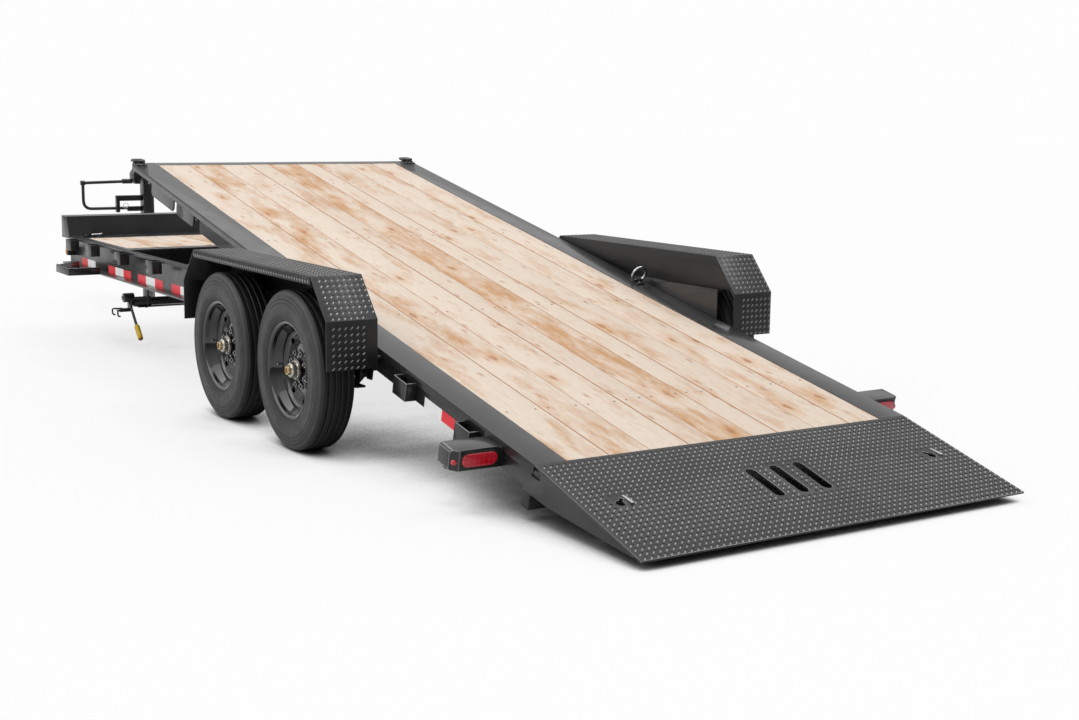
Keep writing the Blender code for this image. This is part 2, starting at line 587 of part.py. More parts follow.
def build_axles():
    """Axle beams with brake drums and spring seats, leaf springs and equalizers."""
    for name, x in (("axle_rear", REAR_AXLE_X), ("axle_front", FRONT_AXLE_X)):
        axle = rod(name, (x, -1.056, TYRE_RADIUS), (x, 1.056, TYRE_RADIUS), AXLE_RADIUS, 20)
        ends = []
        for side in (-1, 1):
            ends.append(rod("spindle", (x, side * 1.050, TYRE_RADIUS),
                            (x, side * (WHEEL_MID_Y - 0.0840 - GAP), TYRE_RADIUS), 0.022, 16))
            ends.append(rod("backing_plate", (x, side * 1.0980, TYRE_RADIUS),
                            (x, side * 1.1060, TYRE_RADIUS), 0.152, 24))
        combine(axle, ends)
    eye = 0.018
    for name, x, start, end in (("leaf_spring_rear", REAR_AXLE_X, -0.330, 0.372),
                                ("leaf_spring_front", FRONT_AXLE_X, -0.372, 0.330)):
        z = TYRE_RADIUS - AXLE_RADIUS - GAP
        pieces = []
        for length, drop in ((0.300, 0.009), (0.210, 0.018), (0.130, 0.027)):
            pieces.append(block("leaf", (x - length, x + length), (SPRING_Y - 0.025,
                                SPRING_Y + 0.0248), (z - drop - 0.009, z - drop + 0.0005)))
        start_x, end_x = x + start + eye + 0.004, x + end - eye - 0.004
        outline = [(start_x, HANGER_EYE_Z), (start_x + 0.070, z - 0.004), (x - 0.060, z),
                   (x + 0.060, z), (end_x - 0.070, z - 0.004), (end_x, HANGER_EYE_Z),
                   (end_x, HANGER_EYE_Z - 0.010), (end_x - 0.076, z - 0.012),
                   (start_x + 0.076, z - 0.012), (start_x, HANGER_EYE_Z - 0.010)]
        leaf = prism(name + "_left", "Y", outline, SPRING_Y - 0.025, SPRING_Y + 0.025)
        for eye_x in (start_x, end_x):
            pieces.append(rod("eye", (eye_x, SPRING_Y - 0.024, HANGER_EYE_Z),
                              (eye_x, SPRING_Y + 0.024, HANGER_EYE_Z), eye, 12))
        combine(leaf, pieces)
        mirrored(leaf, name + "_right")


def facing(profile, sign):
    """A wheel's profile, turned to face its own side."""
    return [(radius, sign * along) for radius, along in profile]


def build_wheels():
    """Tyres, rims with their lug nuts, and hubs with oil caps, at the four corners."""
    half = 0.0885
    # Radius and distance from the middle plane
    tyre = [(0.2232, 0.0738), (0.2360, 0.0742), (0.2364, 0.0880), (0.2880, 0.1000),
            (0.3280, 0.0985), (0.3620, 0.0870), (0.3780, 0.0750), (TYRE_RADIUS, 0.0450)]
    tyre += [(radius, -along) for radius, along in reversed(tyre)]
    rim = [(0.2350, half), (0.2350, half - 0.012), (0.2225, half - 0.014),
           (0.2030, half - 0.060), (0.2030, half - 0.122), (0.2225, 0.014 - half),
           (0.2350, 0.012 - half), (0.2350, -half), (0.2270, -half), (0.1960, half - 0.124),
           (0.1500, half - 0.132), (0.1100, half - 0.124), (0.0620, half - 0.124),
           (0.0620, half - 0.114), (0.1120, half - 0.114), (0.1500, half - 0.121),
           (0.1960, half - 0.104), (0.2165, half - 0.030), (0.2270, half)]
    hub = [(0.0, half + 0.004), (0.018, half + 0.004), (0.020, half - 0.012),
           (0.036, half - 0.014), (0.040, half - 0.042), (0.046, half - 0.044),
           (0.048, half - 0.080), (0.0605, half - 0.084), (0.0605, -0.0465),
           (0.1500, -0.0465), (0.1500, -0.0840), (0.0, -0.0840)]
    nuts = []
    for k in range(LUG_COUNT):
        angle = 2 * math.pi * (k + 0.5) / LUG_COUNT
        nuts.append((BOLT_CIRCLE * math.cos(angle), TYRE_RADIUS + BOLT_CIRCLE * math.sin(angle)))
    for axle, axle_x in (("rear", REAR_AXLE_X), ("front", FRONT_AXLE_X)):
        for side, sign in (("left", 1), ("right", -1)):
            end = "_" + axle + "_" + side
            centre = (axle_x, sign * WHEEL_MID_Y, TYRE_RADIUS)
            turned("tyre" + end, facing(tyre, sign), centre, "Y", TYRE_STEPS, RUBBER, True)
            wheel = turned("rim" + end, facing(rim, sign), centre, "Y", RIM_STEPS, GLOSS)
            start = sign * (WHEEL_MID_Y + half - 0.116)
            lugs = [rod("nut", (axle_x + x, start, z), (axle_x + x, start + sign * 0.024, z),
                        0.014, 6, CHROME) for x, z in nuts]
            combine(wheel, lugs)
            turned("hub" + end, facing(hub, sign), centre, "Y", HUB_STEPS, CHROME)


def build_tongue():
    """A-frame tongue, its nose plate and the coupler."""
    run = TONGUE_NOSE_X - TONGUE_REAR_X
    nose_y = 0.105
    angle = math.atan2(TONGUE_REAR_Y - nose_y, run)
    low, high = TONGUE_TOP - TONGUE_DEPTH, TONGUE_TOP
    outline = channel(0, -0.050, low, high, 0.007, 0.010)
    length = run / math.cos(angle)
    beam = prism("tongue_left", "X", outline, 0, length)
    beam.data.transform(Matrix.Translation((TONGUE_REAR_X, TONGUE_REAR_Y, 0))
                        @ Matrix.Rotation(-angle, 4, "Z"))
    mirrored(beam, "tongue_right")

    # Nose: plates over and under the beams' ends, with the channel that the coupler bolts to
    nose = block("tongue_nose", (TONGUE_NOSE_X - 0.300, TONGUE_NOSE_X + 0.030), (-0.150, 0.150),
                 (high + GAP, high + 0.010))
    front = block("front", (TONGUE_NOSE_X + 0.010, TONGUE_NOSE_X + 0.090), (-0.050, 0.050),
                  (low - 0.060, high + 0.009))
    combine(nose, [front])
    nose_x = HALF_LENGTH
    z = low + 0.020
    shank = [(TONGUE_NOSE_X + 0.090 + GAP, z - 0.045), (nose_x - 0.200, z - 0.040),
             (nose_x - 0.150, z - 0.020), (nose_x - 0.030, z - 0.020), (nose_x, z + 0.006),
             (nose_x, z + 0.030), (nose_x - 0.030, z + 0.062), (nose_x - 0.120, z + 0.066),
             (nose_x - 0.190, z + 0.045), (TONGUE_NOSE_X + 0.090 + GAP, z + 0.045)]
    coupler = prism("coupler", "Y", shank, -0.040, 0.040)
    cheek = rod("cheek", (nose_x - 0.075, 0, z - 0.022), (nose_x - 0.075, 0, z + 0.050), 0.052, 16)
    combine(coupler, [cheek])
    socket = rod("socket", (nose_x - 0.075, 0, z - 0.060), (nose_x - 0.075, 0, z + 0.030), 0.030,
                 16)
    combine(coupler, [socket], "DIFFERENCE")

    # The jack's plate is welded on the nose, and its tube goes down through both
    half = JACK_HALF
    plate = block("jack_plate", (JACK_X - 0.100, JACK_X + 0.100), (-0.150, 0.150),
                  (high + 0.009, high + 0.020))
    combine(nose, [plate])
    hole = block("hole", (JACK_X - half - GAP, JACK_X + half + GAP), (-half - GAP, half + GAP),
                 (high - 0.1, high + 0.1))
    combine(nose, [hole], "DIFFERENCE")


def build_jack():
    """The jack: square tube with its gear head, drop leg with foot, crank and crank holder."""
    half = JACK_HALF
    leg_half = 0.034
    tube = block("jack_tube", (JACK_X - half, JACK_X + half), (-half, half), (0.240, 1.045))
    head = [(-half - 0.012, 1.030), (half + 0.012, 1.030), (0.070, 0.985), (0.112, 0.985),
            (0.126, 1.010), (0.126, 1.072), (0.100, 1.110), (0.060, 1.120), (-0.040, 1.120),
            (-half - 0.012, 1.100)]
    combine(tube, [prism("head", "X", head, JACK_X - 0.055, JACK_X + 0.055)])
    inside = block("inside", (JACK_X - leg_half - GAP, JACK_X + leg_half + GAP),
                   (-leg_half - GAP, leg_half + GAP), (0.200, 0.4003))
    combine(tube, [inside], "DIFFERENCE")
    leg = block("jack_leg", (JACK_X - leg_half, JACK_X + leg_half), (-leg_half, leg_half),
                (0.004, 0.400))
    foot = block("foot", (JACK_X - 0.090, JACK_X + 0.090), (-0.090, 0.090), (0.0, 0.010))
    combine(leg, [foot])

    # Crank: out from the gear head, down, and back into its holder
    bar = 0.011
    shaft_z, arm_y, grip_z = 1.006, 0.530, 0.786
    crank = rod("jack_crank", (JACK_X, 0.126 + GAP, shaft_z), (JACK_X, arm_y, 0.996), bar, 10)
    bends = [rod("yoke", (JACK_X, 0.126 + GAP, shaft_z), (JACK_X, 0.205, shaft_z), 0.020, 12),
             rod("knuckle", (JACK_X, arm_y - 0.012, 0.996), (JACK_X, arm_y + 0.018, 0.996), 0.019,
                 12),
             rod("arm", (JACK_X, arm_y, 1.002), (JACK_X, arm_y, grip_z + 0.060), bar, 10),
             rod("bend", (JACK_X, arm_y, grip_z + 0.064), (JACK_X, arm_y - 0.062, grip_z), bar, 10),
             rod("grip", (JACK_X, arm_y - 0.056, grip_z), (JACK_X, 0.100, grip_z), bar, 10)]
    combine(crank, bends)
    outer_y = 0.263
    holder = [(half + GAP, 0.845), (half + GAP, 0.890), (outer_y, 0.890), (outer_y, 0.752),
              (outer_y - 0.028, 0.752), (outer_y - 0.028, 0.845)]
    bracket = prism("jack_crank_holder", "X", holder, JACK_X - 0.018, JACK_X + 0.018)
    slot = rod("slot", (JACK_X, 0.100, grip_z), (JACK_X, 0.500, grip_z), bar + GAP, 10)
    combine(bracket, [slot], "DIFFERENCE")


def build_latch_and_steps():
    """Deck latch with its hanging lever under the left rail, and the flat-bar side steps."""
    x = REAR_AXLE_X + 3.215
    z = 0.340
    shaft = rod("latch_shaft", (x, -0.985, z), (x, 0.985, z), 0.016, 12)
    hangers = [rod("sleeve", (x, 0.872, z), (x, 0.984, z), 0.033, 16)]
    for y in (-0.900, 0.000, 0.900):
        outline = [(x - 0.045, JOIST_BOTTOM - GAP), (x - 0.045, z)]
        outline += fillet_arc((x, z), 0.045, 180, 360, 6)
        outline += [(x + 0.045, JOIST_BOTTOM - GAP)]
        hangers.append(prism("hanger", "Y", outline, y - 0.005, y + 0.005))
    combine(shaft, hangers)
    # The lever's head stands on the shaft's end, over the plate that it locks to
    start = Vector((x + 0.012, 1.010, z + 0.003))
    down = Vector((-0.697, 0.0, -0.717)).normalized()
    lever = rod("latch_lever", start, start + down * 0.200, 0.009, 10)
    head = [rod("knuckle", (x, 0.9855, z + 0.030), (x, 1.052, z + 0.030), 0.030, 16),
            block("cheek", (x - 0.020, x + 0.020), (0.9855, 1.010), (z - 0.020, z + 0.030)),
            block("lock_plate", (x - 0.026, x + 0.060), (1.000, 1.008), (z - 0.062, z + 0.030))]
    combine(lever, head)
    rod("latch_grip", start + down * 0.2005, start + down * 0.312, 0.0135, 12, YELLOW)

    # Step: flat bar bent to a loop, welded across to the rail
    step_low, step_high = 0.486, 0.536
    start, end = REAR_AXLE_X + 3.630, REAR_AXLE_X + 3.925
    t = 0.006
    rail_y = RAIL_OUTER_Y + GAP
    outline = [(start - 0.010, rail_y), (start, 1.290), (end, 1.290), (end + 0.190, rail_y),
               (end + 0.190 - t * 1.4, rail_y), (end - t, 1.290 - 0.040),
               (start + t, 1.290 - 0.040), (start - 0.010 + t, rail_y)]
    step = prism("side_step_left", "Z", outline, step_low, step_high)
    mirrored(step, "side_step_right")


def build_cylinder():
    """Damping cylinder from the chassis to the tilt deck, drawn along its own line."""
    turn = Matrix.Rotation(-TILT, 4, "Y")
    pivot = Vector((PIVOT_X, 0, PIVOT_Z))
    base = Vector((BARREL_X, 0, BARREL_Z))
    eye = pivot + turn @ (Vector((EYE_X, 0, EYE_Z)) - pivot)
    along = (eye - base).normalized()
    length = (eye - base).length
    barrel = rod("cylinder_barrel", base + along * 0.040, base + along * 0.720, 0.040, 20)
    lug = rod("lug", base - Vector((0, 0.044, 0)), base + Vector((0, 0.044, 0)), 0.030, 16)
    neck = rod("neck", base + along * 0.010, base + along * 0.060, 0.022, 12)
    combine(barrel, [lug, neck])
    bore = rod("bore", base - Vector((0, 0.060, 0)), base + Vector((0, 0.060, 0)),
               BARREL_PIN + 0.001, 16)
    combine(barrel, [bore], "DIFFERENCE")
    ram_radius = 0.019
    inside = rod("inside", base + along * 0.560, base + along * 0.760, ram_radius + GAP, 16)
    combine(barrel, [inside], "DIFFERENCE")
    ram = rod("cylinder_rod", base + along * (length - 0.560), eye - along * 0.024, ram_radius, 16,
              CHROME)
    ram_eye = rod("eye", eye - Vector((0, 0.028, 0)), eye + Vector((0, 0.028, 0)), EYE_RADIUS, 20)
    combine(ram, [ram_eye])
    ram_bore = rod("ram_bore", eye - Vector((0, 0.050, 0)), eye + Vector((0, 0.050, 0)),
                   EYE_BORE, 20)
    combine(ram, [ram_bore], "DIFFERENCE")


for old in list(bpy.data.objects):
    bpy.data.objects.remove(old)

build_main_rails()
build_chassis_frame()
build_fixed_deck()
build_fenders()
build_axles()
build_wheels()
build_tongue()
build_jack()
build_latch_and_steps()
build_cylinder()

hinge = bpy.data.objects.new("deck_pivot", None)
bpy.context.scene.collection.objects.link(hinge)
hinge.location = (PIVOT_X, 0, PIVOT_Z)
hinge.rotation_euler = (0, -TILT, 0)
for piece in build_tilt_deck() + build_tilt_pockets() + build_tail_lamps() + build_tie_rings():
    piece.data.transform(Matrix.Translation((-PIVOT_X, 0, -PIVOT_Z)))
    piece.parent = hinge
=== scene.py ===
"""Looks of the tandem-axle tilt-deck trailer: boards, tread plate, tyres, wheels and paint."""
import json
import math

import bpy
from mathutils import Matrix, Vector

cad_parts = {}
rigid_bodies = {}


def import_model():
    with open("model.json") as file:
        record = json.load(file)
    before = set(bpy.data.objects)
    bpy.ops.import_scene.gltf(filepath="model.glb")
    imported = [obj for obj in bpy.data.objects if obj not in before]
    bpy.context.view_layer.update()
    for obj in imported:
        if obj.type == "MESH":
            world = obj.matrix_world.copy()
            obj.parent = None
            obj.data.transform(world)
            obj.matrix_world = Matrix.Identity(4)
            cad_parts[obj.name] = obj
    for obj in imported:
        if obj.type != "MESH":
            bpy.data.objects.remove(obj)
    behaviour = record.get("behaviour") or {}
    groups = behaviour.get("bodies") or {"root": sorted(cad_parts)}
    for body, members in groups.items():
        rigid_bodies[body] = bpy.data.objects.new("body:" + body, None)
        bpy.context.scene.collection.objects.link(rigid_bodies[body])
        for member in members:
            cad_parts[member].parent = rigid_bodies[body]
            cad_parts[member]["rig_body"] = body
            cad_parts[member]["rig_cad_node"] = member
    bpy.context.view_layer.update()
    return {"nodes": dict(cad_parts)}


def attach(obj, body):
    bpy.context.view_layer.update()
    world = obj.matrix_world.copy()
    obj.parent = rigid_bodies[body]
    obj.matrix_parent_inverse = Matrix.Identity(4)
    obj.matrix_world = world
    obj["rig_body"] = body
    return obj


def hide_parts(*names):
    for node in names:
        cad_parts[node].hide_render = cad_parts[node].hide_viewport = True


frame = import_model()
nodes = frame["nodes"]

# Places in the trailer, in metres
REAR_AXLE_X = -2.088
FRONT_AXLE_X = REAR_AXLE_X + 0.882
DECK_TOP = 0.687
PIVOT = Vector((REAR_AXLE_X + 0.383, 0.0, 0.500))
TILT = math.radians(11.74)
TO_TILTED = (Matrix.Translation(PIVOT) @ Matrix.Rotation(-TILT, 4, "Y")
             @ Matrix.Translation(-PIVOT))
TYRE_RADIUS = 0.3835
RIM_RADIUS = 0.2350
WHEEL_MID_Y = 1.1965
BOLT_CIRCLE = 0.0825
RIM_HALF = 0.0885
DISC_FACE = RIM_HALF - 0.0742
LUG_COUNT = 8
HAND_HOLES = 8
FENDER_TOP = 0.860
PLATE_TIP_X, PLATE_TIP_Z = REAR_AXLE_X - 2.486, 0.629
PLATE_TOP_X = REAR_AXLE_X - 1.761
LOZENGE_SIDES = 6
LOZENGE_CELL = 0.030
SIDES = (("left", 1), ("right", -1))
# Widths of the tilt deck's boards, from the left
TILT_BOARDS = (0.206, 0.204, 0.204, 0.142, 0.204, 0.140, 0.215, 0.205, 0.189)


# Tools for modelling by hand

def clear():
    """Deselect everything, ready for a new primitive."""
    bpy.ops.object.select_all(action="DESELECT")


def only(obj):
    """Select one object and make it active."""
    clear()
    obj.select_set(True)
    bpy.context.view_layer.objects.active = obj
    return obj


def settle(obj):
    """Apply an object's place, turn and size to its mesh."""
    only(obj)
    bpy.ops.object.transform_apply(location=True, rotation=True, scale=True)
    return obj


def stand(obj, along, place):
    """Turn an upright object to point along a direction, and put it in its place."""
    obj.rotation_mode = "QUATERNION"
    obj.rotation_quaternion = Vector((0, 0, 1)).rotation_difference(Vector(along))
    obj.location = place
    return settle(obj)


def smooth(obj, angle=35):
    """Round faces shade smooth and edges past the angle stay sharp."""
    only(obj)
    bpy.ops.object.shade_smooth_by_angle(angle=math.radians(angle))
    return obj


def edit(obj):
    """Open an object's mesh for editing with everything selected."""
    only(obj)
    bpy.ops.object.mode_set(mode="EDIT")
    bpy.ops.mesh.select_all(action="SELECT")


def done():
    """Leave edit mode."""
    bpy.ops.object.mode_set(mode="OBJECT")


def paint(obj, material):
    """Give an object a single material."""
    obj.data.materials.clear()
    obj.data.materials.append(material)
    return obj


def slab(name, corner, opposite, material, bevel=0.0015, segments=2):
    """A plate or block between two opposite corners, with its edges eased."""
    low, high = (Vector(map(pick, corner, opposite)) for pick in (min, max))
    clear()
    bpy.ops.mesh.primitive_cube_add(size=1.0, location=(low + high) / 2)
    obj = bpy.context.object
    obj.name = name
    obj.scale = high - low
    settle(obj)
    if bevel:
        edit(obj)
        bpy.ops.mesh.bevel(offset=bevel, segments=segments, affect="EDGES")
        done()
    smooth(obj)
    return paint(obj, material)


def bar(name, start, end, radius, material, sides=24, bevel=0.0):
    """A round bar between two points, with eased ends."""
    start, end = Vector(start), Vector(end)
    along = end - start
    clear()
    bpy.ops.mesh.primitive_cylinder_add(vertices=sides, radius=radius, depth=along.length)
    obj = bpy.context.object
    obj.name = name
    if bevel:
        edit(obj)
        bpy.ops.mesh.select_all(action="DESELECT")
        done()
        for edge in obj.data.edges:
            a, b = (obj.data.vertices[i].co for i in edge.vertices)
            edge.select = abs(a.z - b.z) < 1e-6
        bpy.ops.object.mode_set(mode="EDIT")
        bpy.ops.mesh.bevel(offset=bevel, segments=2, affect="EDGES")
        done()
    stand(obj, along, (start + end) / 2)
    smooth(obj, 40)
    return paint(obj, material)


def lathe(name, profile, centre, along, material, steps=96):
    """Spin a closed (radius, distance) profile round an axis through a centre."""
    clear()
    bpy.ops.mesh.primitive_circle_add(vertices=len(profile), radius=1.0)
    obj = bpy.context.object
    obj.name = name
    for vertex, (radius, distance) in zip(obj.data.vertices, profile):
        vertex.co = (radius, 0.0, distance)
    edit(obj)
    bpy.ops.mesh.spin(steps=steps, angle=2 * math.pi, center=(0, 0, 0), axis=(0, 0, 1))
    bpy.ops.mesh.select_all(action="SELECT")
    bpy.ops.mesh.remove_doubles(threshold=0.00001)
    bpy.ops.mesh.normals_make_consistent(inside=False)
    done()
    stand(obj, along, centre)
    smooth(obj, 30)
    return paint(obj, material)


def bent_bar(name, points, radius, fillet, material):
    """A round bar through points, its corners bent to arcs."""
    points = [Vector(point) for point in points]
    path = [points[0]]
    for before, corner, after in zip(points, points[1:], points[2:]):
        start = corner + (before - corner).normalized() * fillet
        end = corner + (after - corner).normalized() * fillet
        for k in range(9):
            share = k / 8
            path.append(start * (1 - share) ** 2 + corner * 2 * share * (1 - share)
                        + end * share ** 2)
    path.append(points[-1])
    clear()
    bpy.ops.object.add(type="CURVE")
    obj = bpy.context.object
    obj.name = name
    obj.data.dimensions = "3D"
    line = obj.data.splines.new("POLY")
    line.points.add(len(path) - 1)
    for point, place in zip(line.points, path):
        point.co = (*place, 1.0)
    obj.data.bevel_depth = radius
    obj.data.bevel_resolution = 4
    obj.data.use_fill_caps = True
    bpy.ops.object.convert(target="MESH")
    obj = bpy.context.object
    smooth(obj, 50)
    return paint(obj, material)


def join(name, pieces):
    """Join pieces into one object."""
    clear()
    for piece in pieces:
        piece.select_set(True)
    bpy.context.view_layer.objects.active = pieces[0]
    if len(pieces) > 1:
        bpy.ops.object.join()
    obj = bpy.context.object
    obj.name = name
    return obj


def cut_out(obj, cutter, angle):
    """Cut the cutter's form out of an object, and remove the cutter."""
    cut = obj.modifiers.new("cut", "BOOLEAN")
    cut.operation = "DIFFERENCE"
    cut.solver = "EXACT"
    cut.object = cutter
    only(obj)
    bpy.ops.object.modifier_apply(modifier=cut.name)
    bpy.data.objects.remove(cutter)
    return smooth(obj, angle)


def copy_of(obj, name, matrix):
    """A copy with a mesh of its own, moved by a matrix."""
    only(obj)
    bpy.ops.object.duplicate()
    copy = bpy.context.object
    copy.name = name
    copy.data.transform(matrix)
    if matrix.determinant() < 0:
        edit(copy)
        bpy.ops.mesh.flip_normals()
        done()
    return copy


def tilted(obj):
    """Move a piece modelled on the level deck to the deck's parked angle."""
    obj.data.transform(TO_TILTED)
    return obj


def softened(node, material, width=0.002, segments=2, edge=None):
    """Stand in for a node with the same form, its welded edges eased as real steel's are; unless
    another edge material is given, the eased edges get a lighter paint, a painted highlight.
    """
    only(nodes[node])
    bpy.ops.object.duplicate()
    piece = bpy.context.object
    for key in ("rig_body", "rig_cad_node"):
        if key in piece:
            del piece[key]
    body = nodes[node]["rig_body"]
    piece.parent = None
    piece.name = node + "_finish"
    edit(piece)
    bpy.ops.mesh.remove_doubles(threshold=0.00002)
    bpy.ops.mesh.dissolve_limited(angle_limit=math.radians(1.0))
    done()
    paint(piece, material)
    piece.data.materials.append(EDGE_HIGHLIGHT if edge is None else edge)
    ease = piece.modifiers.new("ease", "BEVEL")
    ease.width = width
    ease.segments = segments
    ease.limit_method = "ANGLE"
    ease.angle_limit = math.radians(28)
    ease.use_clamp_overlap = True
    # The eased edges take the second material: by default the lighter paint, a painted highlight.
    ease.material = 1
    bpy.ops.object.modifier_apply(modifier=ease.name)
    smooth(piece, 35)
    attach(piece, body)
    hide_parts(node)
    return piece


# Materials

class Nodes:
    """The node tree of a new material or world, with short calls to add and link nodes."""

    def __init__(self, name, makers=bpy.data.materials):
        self.owner = makers.new(name)
        self.owner.use_nodes = True
        self.tree = self.owner.node_tree
        self.shader = self.tree.nodes.get("Principled BSDF")

    def add(self, kind, **values):
        node = self.tree.nodes.new(kind)
        for key, value in values.items():
            if hasattr(node, key):
                setattr(node, key, value)
            else:
                node.inputs[key.replace("_", " ")].default_value = value
        return node

    def link(self, source, target):
        self.tree.links.new(source, target)

    def coords(self, scale=(1, 1, 1)):
        """Object coordinates, stretched."""
        place = self.add("ShaderNodeTexCoord")
        mapping = self.add("ShaderNodeMapping")
        mapping.inputs["Scale"].default_value = scale
        self.link(place.outputs["Object"], mapping.inputs["Vector"])
        return mapping.outputs["Vector"]

    def noise(self, vector, scale, detail=4.0, roughness=0.55):
        node = self.add("ShaderNodeTexNoise", Scale=scale, Detail=detail, Roughness=roughness)
        self.link(vector, node.inputs["Vector"])
        return node.outputs["Fac"]

    def ramp(self, source, stops):
        """A colour ramp from (position, colour) stops."""
        node = self.add("ShaderNodeValToRGB")
        elements = node.color_ramp.elements
        while len(elements) < len(stops):
            elements.new(0.5)
        for element, (position, colour) in zip(elements, stops):
            element.position = position
            element.color = colour if len(colour) == 4 else (*colour, 1.0)
        self.link(source, node.inputs["Fac"])
        return node.outputs["Color"]

    def blend(self, kind, factor, a, b):
        """Mix two colours; each may be a socket or a value."""
        node = self.add("ShaderNodeMix", data_type="RGBA", blend_type=kind)
        for socket, value in ((node.inputs[0], factor), (node.inputs[6], a), (node.inputs[7], b)):
            if isinstance(value, bpy.types.NodeSocket):
                self.link(value, socket)
            else:
                socket.default_value = value
        return node.outputs[2]

    def math(self, operation, a, b=0.0):
        node = self.add("ShaderNodeMath", operation=operation)
        for socket, value in zip(node.inputs, (a, b)):
            if isinstance(value, bpy.types.NodeSocket):
                self.link(value, socket)
            else:
                socket.default_value = value
        return node.outputs[0]

    def bump(self, height, strength, distance):
        node = self.add("ShaderNodeBump", Strength=strength, Distance=distance)
        self.link(height, node.inputs["Height"])
        self.link(node.outputs["Normal"], self.shader.inputs["Normal"])

    def set(self, **values):
        for key, value in values.items():
            self.shader.inputs[key.replace("_", " ")].default_value = value


def make_paint(name, base, roughness, dust=0.25, peel=0.12, coat=0.0):
    """Powder-coated steel: faint dust, roughness that varies, and an orange-peel surface."""
    n = Nodes(name)
    place = n.coords()
    cloud = n.noise(place, 3.5, 6.0)
    fine = n.noise(place, 260.0, 2.0)
    dark = tuple(channel * 0.82 for channel in base)
    light = tuple(channel * (1 + dust) + 0.004 for channel in base)
    n.link(n.ramp(cloud, [(0.32, dark), (0.72, light)]), n.shader.inputs["Base Color"])
    rough = n.ramp(n.noise(place, 9.0, 5.0), [(0.3, (roughness - 0.05,) * 3),
                                              (0.75, (roughness + 0.08,) * 3)])
    n.link(rough, n.shader.inputs["Roughness"])
    n.bump(fine, peel, 0.0004)
    n.set(Specular_IOR_Level=0.5, Coat_Weight=coat, Coat_Roughness=0.06)
    return n.owner


def make_metal(name, base, roughness, metallic=1.0):
    """Plated or bare bright steel with faint brushing and handling marks."""
    n = Nodes(name)
    place = n.coords()
    marks = n.noise(place, 40.0, 6.0, 0.7)
    dull = tuple(channel * 0.72 for channel in base)
    n.link(n.ramp(marks, [(0.35, dull), (0.65, base)]), n.shader.inputs["Base Color"])
    n.link(n.ramp(n.noise(place, 90.0, 3.0), [(0.3, (roughness * 0.7,) * 3),
                                              (0.8, (roughness * 1.7,) * 3)]),
           n.shader.inputs["Roughness"])
    n.bump(n.noise(place, 420.0, 2.0), 0.08, 0.0003)
    n.set(Metallic=metallic)
    return n.owner


def make_rubber():
    """Tyre rubber with a bloom and fine pores; the sidewall is lighter than the tread, partly its
    greyer rubber and partly painted light, with painted shade by the rim and at the moulded rings.
    """
    n = Nodes("tyre rubber")
    place = n.coords()
    bloom = n.noise(place, 9.0, 6.0)
    radius = n.add("ShaderNodeAttribute", attribute_name="radius").outputs["Fac"]
    facing = n.add("ShaderNodeSeparateXYZ")
    n.link(n.add("ShaderNodeTexCoord").outputs["Normal"], facing.inputs[0])
    # By the way a face points, the sidewall is lighter than the tread: partly the greyer rubber of
    # a sidewall, partly painted light.
    sideways = n.math("ABSOLUTE", facing.outputs["Y"])
    wall = n.ramp(bloom, [(0.3, (0.075, 0.075, 0.076)), (0.75, (0.135, 0.135, 0.136))])
    tread = n.ramp(bloom, [(0.3, (0.010, 0.010, 0.010)), (0.75, (0.019, 0.019, 0.019))])
    share = n.ramp(sideways, [(0.25, (0, 0, 0)), (0.85, (1, 1, 1))])
    # Painted shade and light: lighter in the middle of the wall, dark by the rim and at the moulded
    # rings, where shade falls on the real tyre
    painted_wall_shade = n.ramp(radius, [(0.0, (0.25,) * 3), (0.14, (0.42,) * 3), (0.30, (0.66,) * 3),
                            (0.52, (0.82,) * 3), (0.575, (0.30,) * 3), (0.63, (0.95,) * 3),
                            (0.690, (0.26,) * 3), (0.745, (1.0,) * 3), (0.80, (0.34,) * 3),
                            (0.86, (0.86,) * 3), (1.0, (0.48,) * 3)])
    toned = n.blend("MULTIPLY", 1.0, n.blend("MIX", share, tread, wall), painted_wall_shade)
    n.link(toned, n.shader.inputs["Base Color"])
    n.link(n.ramp(n.noise(place, 30.0, 4.0), [(0.3, (0.44,) * 3), (0.8, (0.62,) * 3)]),
           n.shader.inputs["Roughness"])
    wave = n.math("SINE", n.math("MULTIPLY", radius, 190.0))
    grit = n.math("ADD", n.noise(place, 600.0, 3.0), n.math("MULTIPLY", wave, 0.25))
    n.bump(grit, 0.30, 0.0006)
    return n.owner


